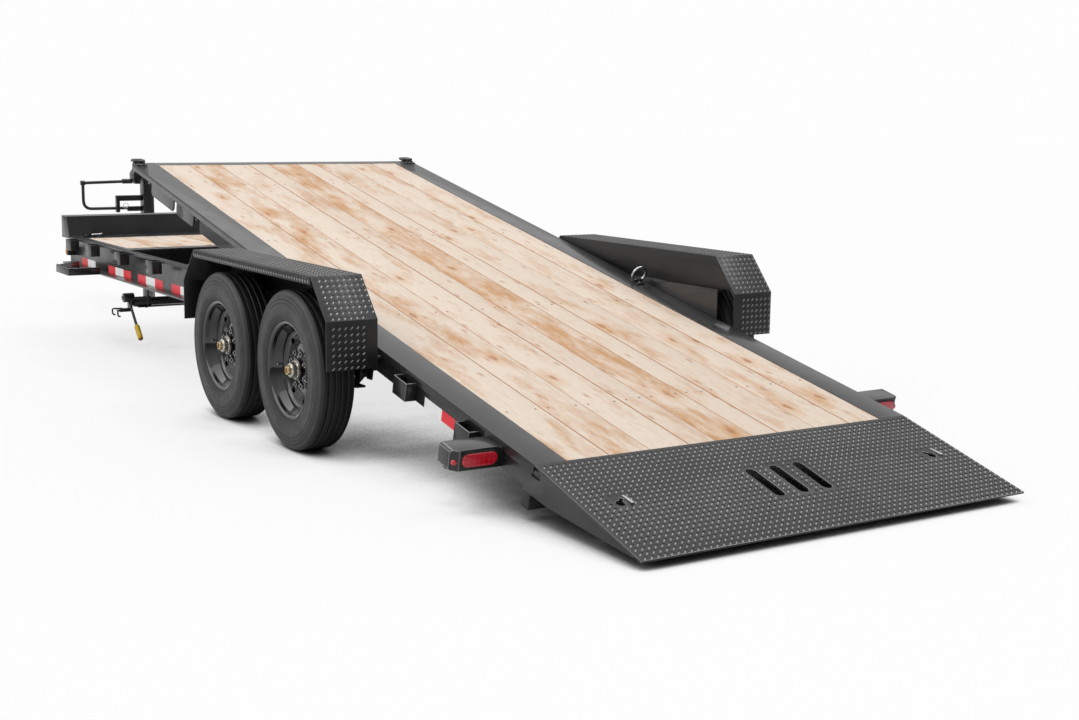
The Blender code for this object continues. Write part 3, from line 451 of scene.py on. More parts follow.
def make_wood():
    """Planed softwood: long grain, brown stains, knots and edges, a little new on each board."""
    n = Nodes("deck wood")
    place = n.coords()
    board = n.add("ShaderNodeAttribute", attribute_name="board")
    stained = n.add("ShaderNodeAttribute", attribute_name="stain")
    seed = n.add("ShaderNodeTexWhiteNoise", noise_dimensions="1D")
    n.link(board.outputs["Fac"], seed.inputs["W"])
    shift = n.add("ShaderNodeVectorMath", operation="MULTIPLY_ADD")
    n.link(seed.outputs["Color"], shift.inputs[0])
    shift.inputs[1].default_value = (7.0, 5.0, 3.0)
    n.link(place, shift.inputs[2])

    def stretched(scale):
        mapping = n.add("ShaderNodeMapping")
        mapping.inputs["Scale"].default_value = scale
        n.link(shift.outputs[0], mapping.inputs["Vector"])
        return mapping.outputs["Vector"]

    # Grain: long wandering lines, close together across the board
    wander = n.noise(stretched((0.8, 3.0, 1.0)), 1.6, 3.0)
    lines = n.add("ShaderNodeVectorMath", operation="MULTIPLY_ADD")
    n.link(wander, lines.inputs[0])
    lines.inputs[1].default_value = (0.0, 0.10, 0.0)
    n.link(stretched((0.35, 9.0, 9.0)), lines.inputs[2])
    grain = n.noise(lines.outputs[0], 5.0, 7.0, 0.62)
    tone = n.ramp(grain, [(0.28, (0.66, 0.545, 0.440)), (0.52, (0.725, 0.615, 0.515)),
                          (0.80, (0.60, 0.45, 0.325))])
    # Stains: long brown streaks, strong on two of the boards
    streak = n.noise(stretched((0.9, 4.2, 4.2)), 1.7, 7.0, 0.70)
    reach = n.math("ADD", streak, n.math("MULTIPLY", stained.outputs["Fac"], 0.17))
    mask = n.ramp(reach, [(0.53, (0, 0, 0)), (0.62, (0.36,) * 3), (0.75, (1, 1, 1))])
    stain = n.blend("MIX", n.math("MULTIPLY", mask, 0.95), tone, (0.52, 0.26, 0.095, 1.0))
    # Knots, each with a warm halo, and small flecks between them
    cells = n.add("ShaderNodeTexVoronoi", voronoi_dimensions="2D", feature="F1", Scale=1.0)
    n.link(stretched((1.9, 4.6, 4.6)), cells.inputs["Vector"])
    ragged = n.math("ADD", cells.outputs["Distance"],
                    n.math("MULTIPLY", n.noise(stretched((6.0, 16.0, 16.0)), 3.0, 4.0), 0.16))
    # A cell's colour, read as one number, picks the cells that hold a knot
    pick = n.math("GREATER_THAN", n.math("MULTIPLY", cells.outputs["Color"], 1.0), 0.50)
    halo = n.ramp(ragged, [(0.10, (1, 1, 1)), (0.36, (0, 0, 0))])
    warm = n.blend("MIX", n.math("MULTIPLY", n.math("MULTIPLY", halo, pick), 0.50), stain,
                   (0.60, 0.30, 0.11, 1.0))
    knot = n.ramp(ragged, [(0.105, (1, 1, 1)), (0.165, (0, 0, 0))])
    knotted = n.blend("MIX", n.math("MULTIPLY", n.math("MULTIPLY", knot, pick), 0.80), warm,
                      (0.36, 0.145, 0.045, 1.0))
    small = n.add("ShaderNodeTexVoronoi", voronoi_dimensions="2D", feature="F1", Scale=1.0)
    n.link(stretched((4.2, 13.0, 13.0)), small.inputs["Vector"])
    some = n.math("GREATER_THAN", n.math("MULTIPLY", small.outputs["Color"], 1.0), 0.66)
    fleck = n.ramp(small.outputs["Distance"], [(0.04, (1, 1, 1)), (0.17, (0, 0, 0))])
    flecked = n.blend("MIX", n.math("MULTIPLY", n.math("MULTIPLY", fleck, some), 0.62), knotted,
                      (0.42, 0.19, 0.065, 1.0))
    shade = n.ramp(seed.outputs["Value"], [(0.0, (0.94, 0.92, 0.90)), (1.0, (1.0, 1.0, 1.0))])
    shaded = n.blend("MULTIPLY", 1.0, flecked, shade)
    edge = n.add("ShaderNodeAttribute", attribute_name="edge")
    n.link(n.blend("MIX", edge.outputs["Fac"], shaded, (0.42, 0.165, 0.045, 1.0)),
           n.shader.inputs["Base Color"])
    n.link(n.ramp(grain, [(0.3, (0.50,) * 3), (0.8, (0.66,) * 3)]), n.shader.inputs["Roughness"])
    n.bump(grain, 0.25, 0.0006)
    return n.owner


def make_plain(name, base, roughness, **extra):
    """Moulded plastic, tape or film with a slight mottling."""
    n = Nodes(name)
    place = n.coords()
    light = tuple(min(1.0, channel * 1.10) for channel in base)
    dark = tuple(channel * 0.90 for channel in base)
    n.link(n.ramp(n.noise(place, 55.0, 4.0), [(0.3, dark), (0.7, light)]),
           n.shader.inputs["Base Color"])
    n.bump(n.noise(place, 300.0, 2.0), 0.08, 0.0003)
    n.set(Roughness=roughness, **extra)
    return n.owner


def make_lens():
    """Red lamp lens: clear-coated plastic over rows of small reflectors."""
    n = Nodes("red lamp lens")
    cells = n.add("ShaderNodeTexVoronoi", feature="F1", Scale=44.0, Randomness=0.15)
    n.link(n.coords(), cells.inputs["Vector"])
    n.link(n.ramp(cells.outputs["Distance"], [(0.15, (0.86, 0.035, 0.06)),
                                              (0.62, (0.34, 0.004, 0.014))]),
           n.shader.inputs["Base Color"])
    n.bump(cells.outputs["Distance"], 0.35, 0.001)
    n.set(Roughness=0.22, Coat_Weight=1.0, Coat_Roughness=0.05,
          Emission_Color=(0.9, 0.01, 0.03, 1.0), Emission_Strength=0.16)
    return n.owner


SATIN = make_paint("satin black paint", (0.020, 0.020, 0.021), 0.30, 0.25, 0.08, 0.3)
GLOSS = make_paint("gloss black paint", (0.006, 0.006, 0.007), 0.10, 0.1, 0.04, 1.0)
PLATE = make_paint("painted tread plate", (0.013, 0.013, 0.014), 0.40, 0.12, 0.08)
# Lighter gloss paint for the eased edges of painted steel: a painted highlight where real rounded
# edges glint.
EDGE_HIGHLIGHT = make_paint("painted highlight on rounded edges", (0.19, 0.19, 0.193), 0.20, 0.25, 0.04, 0.8)
RUBBER = make_rubber()
WOOD = make_wood()
CHROME = make_metal("bright plated steel", (0.80, 0.80, 0.82), 0.14)
ZINC = make_metal("zinc plated steel", (0.62, 0.61, 0.58), 0.30)
STEEL = make_metal("dull bright steel", (0.60, 0.60, 0.61), 0.18)
BRASS = make_metal("gold tinted cap", (0.74, 0.57, 0.34), 0.22)
CAP_STEEL = make_metal("pale gold oil cap", (0.74, 0.70, 0.62), 0.22)
# Both tapes glow a little: painted light that brightens them where the lamps leave the rails' sides
# dim.
RED_TAPE = make_plain("red reflective tape with painted glow", (0.76, 0.035, 0.050), 0.35,
                      Emission_Color=(0.80, 0.030, 0.045, 1.0), Emission_Strength=0.30)
WHITE_TAPE = make_plain("white reflective tape with painted glow", (0.86, 0.86, 0.86), 0.35,
                        Emission_Color=(0.9, 0.9, 0.9, 1.0), Emission_Strength=0.30)
YELLOW = make_plain("yellow grip", (0.93, 0.62, 0.035), 0.40)
BLACK_PLASTIC = make_plain("black rubber trim", (0.020, 0.020, 0.021), 0.55)
AMBER = make_plain("amber lens", (0.85, 0.28, 0.02), 0.15, Coat_Weight=1.0)
LENS = make_lens()
# Light paint for the lozenges of one direction: a painted glint where the light catches them.
TREAD_GLINT = make_paint("painted glint on tread bumps", (0.240, 0.240, 0.243), 0.18, 0.3, 0.04, 1.0)
SCREW = make_metal("brown deck screws", (0.27, 0.125, 0.050), 0.50, 0.0)
ORANGE = make_plain("orange grip end", (0.72, 0.30, 0.05), 0.45)


# Painted steel that keeps the nodes' form

FRAME_FACES = ("main_rail_left", "main_rail_right", "fixed_deck_border", "headboard")
for node in ("main_rail_left", "main_rail_right", "chassis_crossframe", "fixed_deck_frame",
             "fixed_deck_border", "tongue_left", "tongue_right", "tongue_nose",
             "coupler", "jack_tube", "jack_crank_holder", "side_step_left",
             "side_step_right", "latch_shaft", "latch_lever", "axle_front", "axle_rear",
             "leaf_spring_front_left", "leaf_spring_front_right", "leaf_spring_rear_left",
             "leaf_spring_rear_right", "pivot_shaft", "cylinder_barrel", "tilt_rail_left",
             "tilt_rail_right", "tilt_crossframe", "tilt_front_bar", "tilt_pocket_front_left",
             "tilt_pocket_front_right", "tilt_pocket_rear_left", "tilt_pocket_rear_right",
             "tail_lamp_box_left", "tail_lamp_box_right", "headboard"):
    softened(node, SATIN, 0.0036 if node in FRAME_FACES else 0.0024)
softened("jack_leg", ZINC, 0.0012, 2, ZINC)
softened("cylinder_rod", CHROME, 0.0010, 2, CHROME)


# Boards

def board_deck(name, node, body, span, widths, stains, screw_rows, on_tilt):
    """Single boards with eased edges and a fine gap between them, and the screws that hold them."""
    half = sum(widths) / 2
    high = DECK_TOP - 0.002
    left_y = half
    planks = []
    heads = []
    for k, (width, stain) in enumerate(zip(widths, stains)):
        lift = 0.0006 * math.sin(k * 2.4)
        plank = slab("plank", (span[0], left_y - width + 0.0001, DECK_TOP - 0.0395),
                     (span[1], left_y - 0.0001, high + lift), WOOD, 0.0026, 2)
        sides = [float(abs(face.normal.y) > 0.35) for face in plank.data.polygons]
        for label, values in (("board", [k + 0.37] * len(sides)), ("stain", [stain] * len(sides)),
                              ("edge", sides)):
            layer = plank.data.attributes.new(label, "FLOAT", "FACE")
            layer.data.foreach_set("value", values)
        planks.append(plank)
        for row in screw_rows:
            for inset in (0.032, width - 0.032):
                heads.append((REAR_AXLE_X + row + 0.006 * math.sin(k * 5.1 + inset * 40),
                              left_y - inset, high + lift))
        left_y -= width
    deck = join(name, planks)
    first = lathe("screw", [(0.0, -0.002), (0.0062, -0.002), (0.0060, 0.0004), (0.0044, 0.0006),
                            (0.0036, 0.0002), (0.0, 0.0001)], (0, 0, 0), (0, 0, 1), SCREW, 12)
    screws = join(name + "_screws", [copy_of(first, "screw", Matrix.Translation(spot))
                                     for spot in heads])
    bpy.data.objects.remove(first)
    for piece in (deck, screws):
        if on_tilt:
            tilted(piece)
        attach(piece, body)
    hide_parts(node)


board_deck("tilt_boards", "tilt_deck_boards", "tilt_deck",
           (REAR_AXLE_X - 1.7505, REAR_AXLE_X + 3.1255), TILT_BOARDS,
           (0.20, 0.62, 0.18, 0.10, 0.95, 0.05, 0.22, 0.30, 0.25),
           (-1.239, 0.045, 1.365, 2.595), True)
board_deck("fixed_boards", "fixed_deck_boards", "chassis",
           (REAR_AXLE_X + 3.3005, REAR_AXLE_X + 4.1845), (2 * 0.9835 / 9,) * 9,
           (0.2, 0.5, 0.1, 0.8, 0.3, 0.1, 0.6, 0.2, 0.4), (3.36, 4.13), False)


# Tread plate

def bump_field(name, size_u, size_v):
    """Raised lozenges on a flat panel from (0, 0) to (size_u, size_v), in two crossed directions.

    Only those that run one way are painted lighter, a painted glint.
    """
    unit = []
    # One direction of lozenges takes the painted glint, the other the plate's own paint.
    for place, degrees, material in ((0.30, -45, TREAD_GLINT), (0.80, 45, PLATE)):
        clear()
        bpy.ops.mesh.primitive_cone_add(vertices=LOZENGE_SIDES, radius1=0.0112,
                                        radius2=0.0066, depth=0.0026)
        bump = bpy.context.object
        bump.scale = (1.0, 0.40, 1.0)
        settle(bump)
        place *= LOZENGE_CELL
        bump.data.transform(Matrix.Translation((place, place, 0.0006))
                            @ Matrix.Rotation(math.radians(degrees), 4, "Z"))
        unit.append(paint(bump, material))
    field = join(name, unit)
    for axis, size in ((0, size_u), (1, size_v)):
        rows = field.modifiers.new("rows", "ARRAY")
        rows.use_relative_offset = False
        rows.use_constant_offset = True
        offset = [0.0, 0.0, 0.0]
        offset[axis] = LOZENGE_CELL
        rows.constant_offset_displace = offset
        rows.count = max(1, int(size / LOZENGE_CELL + 0.51))
        bpy.ops.object.modifier_apply(modifier=rows.name)
    trim(field, lambda p: p.x > size_u - 0.010 or p.y > size_v - 0.010)
    smooth(field, 50)
    return field


def trim(obj, outside):
    """Delete the loose bumps whose middle lies outside a panel."""
    only(obj)
    size = 2 * LOZENGE_SIDES
    vertices = obj.data.vertices
    for start in range(0, len(vertices), size):
        middle = sum((vertices[k].co for k in range(start, start + size)), Vector()) / size
        chosen = outside(middle)
        for k in range(start, start + size):
            vertices[k].select = chosen
    for edge in obj.data.edges:
        edge.select = all(vertices[k].select for k in edge.vertices)
    for face in obj.data.polygons:
        face.select = all(vertices[k].select for k in face.vertices)
    bpy.ops.object.mode_set(mode="EDIT")
    bpy.ops.mesh.select_mode(type="VERT")
    bpy.ops.mesh.delete(type="VERT")
    done()


def panel(name, corner, along_u, along_v, size_u, size_v):
    """A bump field laid on a panel from its corner, facing along_u x along_v."""
    field = bump_field(name, size_u, size_v)
    u, v = Vector(along_u).normalized(), Vector(along_v).normalized()
    w = u.cross(v)
    matrix = Matrix((u, v, w)).transposed().to_4x4()
    field.data.transform(Matrix.Translation(corner) @ matrix)
    return field


def fender(side, sign):
    """The fender's folded plate with its lozenges."""
    piece = softened("fender_" + side, PLATE, 0.0016)
    y_in, y_out = 1.044, 1.299
    rear_top, front_top = REAR_AXLE_X - 0.3105, REAR_AXLE_X + 1.1958
    rear_low, front_low = REAR_AXLE_X - 0.4736, REAR_AXLE_X + 1.3574
    width = y_out - y_in
    start_y = y_in if sign > 0 else -y_out
    outline = [Vector((x, start_y, z)) for x, z in (
        (rear_low, 0.447), (rear_low, 0.672), (rear_top, FENDER_TOP), (front_top, FENDER_TOP),
        (front_low, 0.681))]
    fields = [panel("face", start, end - start, (0, 1, 0), (end - start).length, width)
              for start, end in zip(outline, outline[1:])]
    for low in fields[:2]:
        trim(low, lambda p: p.z < DECK_TOP + 0.006 and abs(p.y) < 1.088)
    lip_start = front_top if sign > 0 else rear_top
    fields.append(panel("lip", (lip_start, sign * y_out, 0.8235), (-sign, 0, 0), (0, 0, 1),
                        front_top - rear_top, 0.036))
    front = panel("front", (front_low, start_y + width, 0.470), (0, 0, 1), (0, -1, 0), 0.211, width)
    trim(front, lambda p: abs(p.y) < 1.092)
    fields.append(front)
    field = join("fender_tread_" + side, fields)
    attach(field, "chassis")


for side, sign in SIDES:
    fender(side, sign)

# The rails stop short of the fenders' rear panels
for side, sign in SIDES:
    rail_end = slab("rail_end", (REAR_AXLE_X - 0.500, sign * 1.000, 0.4965),
                    (REAR_AXLE_X - 0.372, sign * 1.090, 0.700), SATIN, 0.0)
    cut_out(bpy.data.objects["main_rail_" + side + "_finish"], rail_end, 35)

plate = softened("approach_plate", PLATE, 0.0016)
tip = Vector((PLATE_TIP_X, -1.006, PLATE_TIP_Z))
top = Vector((PLATE_TOP_X, -1.006, DECK_TOP))
ramp_run = top - tip
field = panel("approach_plate_tread", tip, ramp_run, (0, 1, 0), ramp_run.length, 2.012)
trim(field, lambda p: -2.243 < p.x - REAR_AXLE_X < -1.985 and any(abs(p.y - y) < 0.038
     for y in (-0.127, 0.0, 0.127)))
trim(field, lambda p: -2.140 < p.x - REAR_AXLE_X < -2.045 and 0.780 < abs(p.y) < 0.865)
tilted(field)
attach(field, "tilt_deck")


# Wheels

def tyre_profile():
    """Half of a trailer tyre's section, from bead to crown: (radius, distance from the middle)."""
    side = [(0.2234, 0.0736), (0.2362, 0.0742), (0.2368, 0.0872), (0.2420, 0.0905),
            (0.2470, 0.0908), (0.2485, 0.0926), (0.2600, 0.0948), (0.2640, 0.0968),
            (0.2700, 0.0975), (0.2712, 0.0985), (0.2880, 0.0998), (0.3060, 0.1000),
            (0.3200, 0.0990), (0.3212, 0.0998), (0.3236, 0.0998), (0.3248, 0.0984),
            (0.3400, 0.0960), (0.3412, 0.0970), (0.3436, 0.0965), (0.3448, 0.0945),
            (0.3560, 0.0905), (0.3640, 0.0870), (0.3652, 0.0878), (0.3700, 0.0850),
            (0.3760, 0.0800), (0.3790, 0.0735)]
    crown = []
    # Outer edge of each rib, then the groove inside it
    for outer, inner in ((0.0725, 0.0510), (0.0440, 0.0190)):
        crown += [(0.3806, outer), (0.3822, outer - 0.003), (0.3826, inner + 0.002),
                  (0.3810, inner), (0.3740, inner - 0.0012), (0.3740, inner - 0.0058)]
    crown += [(0.3812, 0.0120), (0.3830, 0.0100)]
    half = side + crown
    return half + [(radius, -distance) for radius, distance in reversed(half)]


def rim_profile():
    """A 17.5 in rim and its disc: (radius, distance from the middle towards the outside)."""
    half = RIM_HALF
    return [(0.2350, half - 0.002), (0.2345, half - 0.011), (0.2225, half - 0.0145),
            (0.2222, half - 0.028), (0.2180, half - 0.034), (0.2035, half - 0.060),
            (0.2032, half - 0.120), (0.2060, half - 0.126), (0.2222, 0.028 - half),
            (0.2225, 0.0145 - half), (0.2345, 0.011 - half), (0.2350, 0.002 - half),
            (0.2320, -half), (0.2270, 0.001 - half), (0.2180, 0.016 - half),
            (0.1965, half - 0.088), (0.1850, half - 0.094), (0.1650, half - 0.097),
            (0.1480, half - 0.0935), (0.1250, half - 0.0855), (0.1100, half - 0.0842),
            (0.0620, half - 0.0842), (0.0620, DISC_FACE), (0.1080, DISC_FACE),
            (0.1220, half - 0.0750), (0.1450, half - 0.0830), (0.1640, half - 0.0862),
            (0.1820, half - 0.0820), (0.1930, half - 0.0730), (0.1962, half - 0.0660),
            (0.1965, half - 0.0620), (0.1990, half - 0.0580), (0.2130, half - 0.0330),
            (0.2165, half - 0.0270), (0.2168, half - 0.0120), (0.2200, half - 0.0060),
            (0.2270, half - 0.0010), (0.2320, half)]


def lug_nut():
    """A flanged hexagon nut on its dark stud, standing on z = 0."""
    flange = lathe("nut", [(0.0, 0.0), (0.0175, 0.0), (0.0175, 0.0030), (0.0135, 0.0050),
                           (0.0, 0.0050)], (0, 0, 0), (0, 0, 1), STEEL, 18)
    clear()
    bpy.ops.mesh.primitive_cylinder_add(vertices=6, radius=0.0155, depth=0.0170,
                                        location=(0, 0, 0.0120))
    hexagon = settle(bpy.context.object)
    edit(hexagon)
    bpy.ops.mesh.bevel(offset=0.0012, segments=2, affect="EDGES")
    done()
    smooth(hexagon)
    paint(hexagon, STEEL)
    stud = lathe("stud", [(0.0, 0.004), (0.0085, 0.004), (0.0085, 0.0255), (0.0075, 0.0270),
                          (0.0, 0.0270)], (0, 0, 0), (0, 0, 1), GLOSS, 14)
    return join("nut", [flange, hexagon, stud])


def wheel(axle, axle_x, side, sign):
    """A tyre, rim with nuts and valve, and hub with its oil cap."""
    body = "wheel_%s_%s" % (axle, side)
    end = "_%s_%s" % (axle, side)
    centre = Vector((axle_x, sign * WHEEL_MID_Y, TYRE_RADIUS))
    out = Vector((0, sign, 0))
    tyre = lathe("tyre_rubber" + end, tyre_profile(), centre, out, RUBBER, 112)
    layer = tyre.data.attributes.new("radius", "FLOAT", "POINT")
    layer.data.foreach_set("value", [
        (math.hypot(v.co.x - axle_x, v.co.z - TYRE_RADIUS) - RIM_RADIUS)
        / (TYRE_RADIUS - RIM_RADIUS) for v in tyre.data.vertices])
    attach(tyre, body)
    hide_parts("tyre" + end)

    rim = lathe("rim_steel" + end, rim_profile(), centre, out, GLOSS, 96)
    cutters = []
    for k in range(HAND_HOLES):
        angle = 2 * math.pi * k / HAND_HOLES
        spot = centre + Vector((0.1655 * math.cos(angle), sign * -0.004, 0.1655 * math.sin(angle)))
        cutters.append(bar("hand_hole", spot - out * 0.03, spot + out * 0.03, 0.0165, GLOSS, 20))
    cut_out(rim, join("hand_holes", cutters), 30)
    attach(rim, body)
    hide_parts("rim" + end)

    nuts = []
    first = lug_nut()
    face = centre + out * DISC_FACE
    stand = Vector((0, 0, 1)).rotation_difference(out).to_matrix().to_4x4()
    for k in range(LUG_COUNT):
        angle = 2 * math.pi * (k + 0.5) / LUG_COUNT
        spot = face + Vector((BOLT_CIRCLE * math.cos(angle), 0, BOLT_CIRCLE * math.sin(angle)))
        nuts.append(copy_of(first, "nut", Matrix.Translation(spot) @ stand))
    bpy.data.objects.remove(first)
    nut_set = join("lug_nuts" + end, nuts)
    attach(nut_set, body)

    half = RIM_HALF
    hub = [(0.0, half - 0.043), (0.0500, half - 0.0432), (0.0530, half - 0.046),
           (0.0545, half - 0.070), (0.0600, half - 0.073), (0.0605, half - 0.088),
           (0.0605, -0.0465), (0.1490, -0.0465), (0.1500, -0.0480), (0.1500, -0.0825),
           (0.1490, -0.0840), (0.0, -0.0840)]
    hub_piece = lathe("hub_body" + end, hub, centre, out, GLOSS, 56)
    dome = lathe("dome", [(0.0, half - 0.010), (0.030, half - 0.0112), (0.0355, half - 0.0150),
                          (0.0375, half - 0.020), (0.0385, half - 0.0375), (0.0440, half - 0.0385),
                          (0.0452, half - 0.0400), (0.0452, half - 0.0430), (0.0, half - 0.0431)],
                 centre, out, CAP_STEEL, 48)
    bolts = []
    for k in range(6):
        angle = 2 * math.pi * k / 6
        spot = centre + out * (half - 0.0370) + Vector((0.0415 * math.cos(angle), 0,
                                                        0.0415 * math.sin(angle)))
        bolts.append(bar("bolt", spot - out * 0.004, spot + out * 0.0030, 0.0036, STEEL, 6))
    hub_piece = join("hub_body" + end, [hub_piece, dome] + bolts)
    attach(hub_piece, body)
    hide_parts("hub" + end)
    cap = [(0.0, half - 0.0060), (0.0120, half - 0.0060), (0.0130, half + 0.0028),
           (0.0165, half + 0.0035), (0.0215, half + 0.0020), (0.0235, half - 0.003),
           (0.0245, half - 0.0125), (0.0, half - 0.0126)]
    plug = lathe("oil_cap" + end, cap, centre, out, BRASS, 40)
    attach(plug, body)
    base = centre + Vector((0.1990, sign * (half - 0.062), 0.0))
    stem = join("valve" + end, [bar("stem", base, base + Vector((-0.010, sign * 0.030, 0)),
                                    0.0036, ZINC, 12, 0.0005)])
    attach(stem, body)


for axle, axle_x in (("rear", REAR_AXLE_X), ("front", FRONT_AXLE_X)):
    for side, sign in SIDES:
        wheel(axle, axle_x, side, sign)


# Lamps and tape

def tail_lamp(side, sign):
    """Oval tail lamp in its rubber grommet, and the round marker beside it."""
    x = REAR_AXLE_X - 1.512
    for name, half, radius, low, high, material in (
            ("grommet", 0.053, 0.0355, -0.0058, -0.0002, BLACK_PLASTIC),
            ("lens", 0.053, 0.0285, -0.0105, -0.0040, LENS)):
        clear()
        bpy.ops.mesh.primitive_cylinder_add(vertices=40, radius=radius, depth=high - low,
                                            location=(0, 0, (low + high) / 2))
        oval = settle(bpy.context.object)
        for vertex in oval.data.vertices:
            vertex.co.x += math.copysign(half, vertex.co.x) if abs(vertex.co.x) > 1e-6 else 0.0
        edit(oval)
        bpy.ops.mesh.bevel(offset=0.0022, segments=3, affect="EDGES", clamp_overlap=True)
        done()
        smooth(oval, 40)
        paint(oval, material)
        oval.data.transform(Matrix.Translation((x, sign * 1.110, 0.623))
                            @ Matrix(((0, 0, 1, 0), (1, 0, 0, 0), (0, 1, 0, 0), (0, 0, 0, 1))))
        oval.name = "tail_%s_%s" % (name, side)
        tilted(oval)
        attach(oval, "tilt_deck")
    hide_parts("tail_lens_" + side)
    marker = lathe("tail_marker_" + side, [(0.0, 0.0), (0.0125, 0.0), (0.0125, 0.002),
                   (0.0100, 0.0045), (0.0060, 0.0070), (0.0, 0.0078)],
                   (x + 0.0150, sign * 1.2160, 0.612), (-0.729, sign * 0.684, 0), LENS, 28)
    tilted(marker)
    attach(marker, "tilt_deck")
    hood = slab("tail_lamp_hood_" + side, (x - 0.003, sign * 1.020, 0.6635),
                (x + 0.004, sign * 1.200, 0.6685), SATIN, 0.0012)
    tab = slab("tail_lamp_tab_" + side, (x + 0.090, sign * 1.200, 0.551),
               (x + 0.112, sign * 1.206, 0.578), SATIN, 0.0012)
    for piece in (hood, tab):
        tilted(piece)
        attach(piece, "tilt_deck")


for side, sign in SIDES:
    tail_lamp(side, sign)


def tape(name, body, spans, y, z, on_tilt):
    """Reflective tape on a web: (start, end, colour) spans from the rear axle."""
    for side, sign in SIDES:
        for k, (start, end, colour) in enumerate(spans):
            strip = slab("%s_%s_%d" % (name, side, k),
                         (REAR_AXLE_X + start, sign * (y - 0.0004), z[0]),
                         (REAR_AXLE_X + end, sign * (y + 0.0007), z[1]), colour, 0.0)
            if on_tilt:
                tilted(strip)
            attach(strip, body)


tape("rail_tape", "chassis", [(4.097, 4.243, RED_TAPE), (3.920, 4.097, WHITE_TAPE),
                              (3.469, 3.623, RED_TAPE), (3.297, 3.469, WHITE_TAPE),
                              (3.141, 3.297, RED_TAPE), (2.840, 2.999, RED_TAPE),
                              (2.666, 2.840, WHITE_TAPE), (2.517, 2.666, RED_TAPE),
                              (2.202, 2.361, RED_TAPE), (2.040, 2.202, WHITE_TAPE)],
     1.020, (0.497, 0.548), False)
tape("deck_tape", "tilt_deck", [(-0.992, -0.835, WHITE_TAPE), (-1.108, -0.992, RED_TAPE)],
     0.994, (0.5675, 0.617), True)


# Small fittings

def shackle(name, body, foot, lean, across, material, on_tilt=False, reach=0.040):
    """A ring held by a strap: foot is the strap's middle, lean points along the ring from it."""
    foot, lean, across = Vector(foot), Vector(lean).normalized(), Vector(across).normalized()
    clear()
    bpy.ops.mesh.primitive_torus_add(major_radius=0.044, minor_radius=0.0066, major_segments=40,
                                     minor_segments=14)
    ring = bpy.context.object
    turn = Matrix((across, lean, across.cross(lean))).transposed().to_4x4()
    ring.data.transform(Matrix.Translation(foot + Vector((0, 0, 0.012)) + lean * reach) @ turn)
    smooth(ring, 60)
    paint(ring, material)
    along = across.cross(Vector((0, 0, 1))).normalized()
    sleeve = bar("sleeve", foot - across * 0.026 + Vector((0, 0, 0.012)),
                 foot + across * 0.026 + Vector((0, 0, 0.012)), 0.0125, SATIN, 20, 0.001)
    feet = []
    for way in (-1, 1):
        middle = foot + along * way * 0.024
        half = across * 0.026 + along * 0.018
        feet.append(slab("foot", middle - half, middle + half + Vector((0, 0, 0.007)), SATIN,
                         0.0012))
        feet.append(bar("bolt", middle + Vector((0, 0, 0.006)), middle + Vector((0, 0, 0.012)),
                        0.0075, ZINC, 6, 0.0008))
    strap = join(name + "_strap", [sleeve] + feet)
    ring.name = name
    for piece in (ring, strap):
        if on_tilt:
            tilted(piece)
        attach(piece, body)


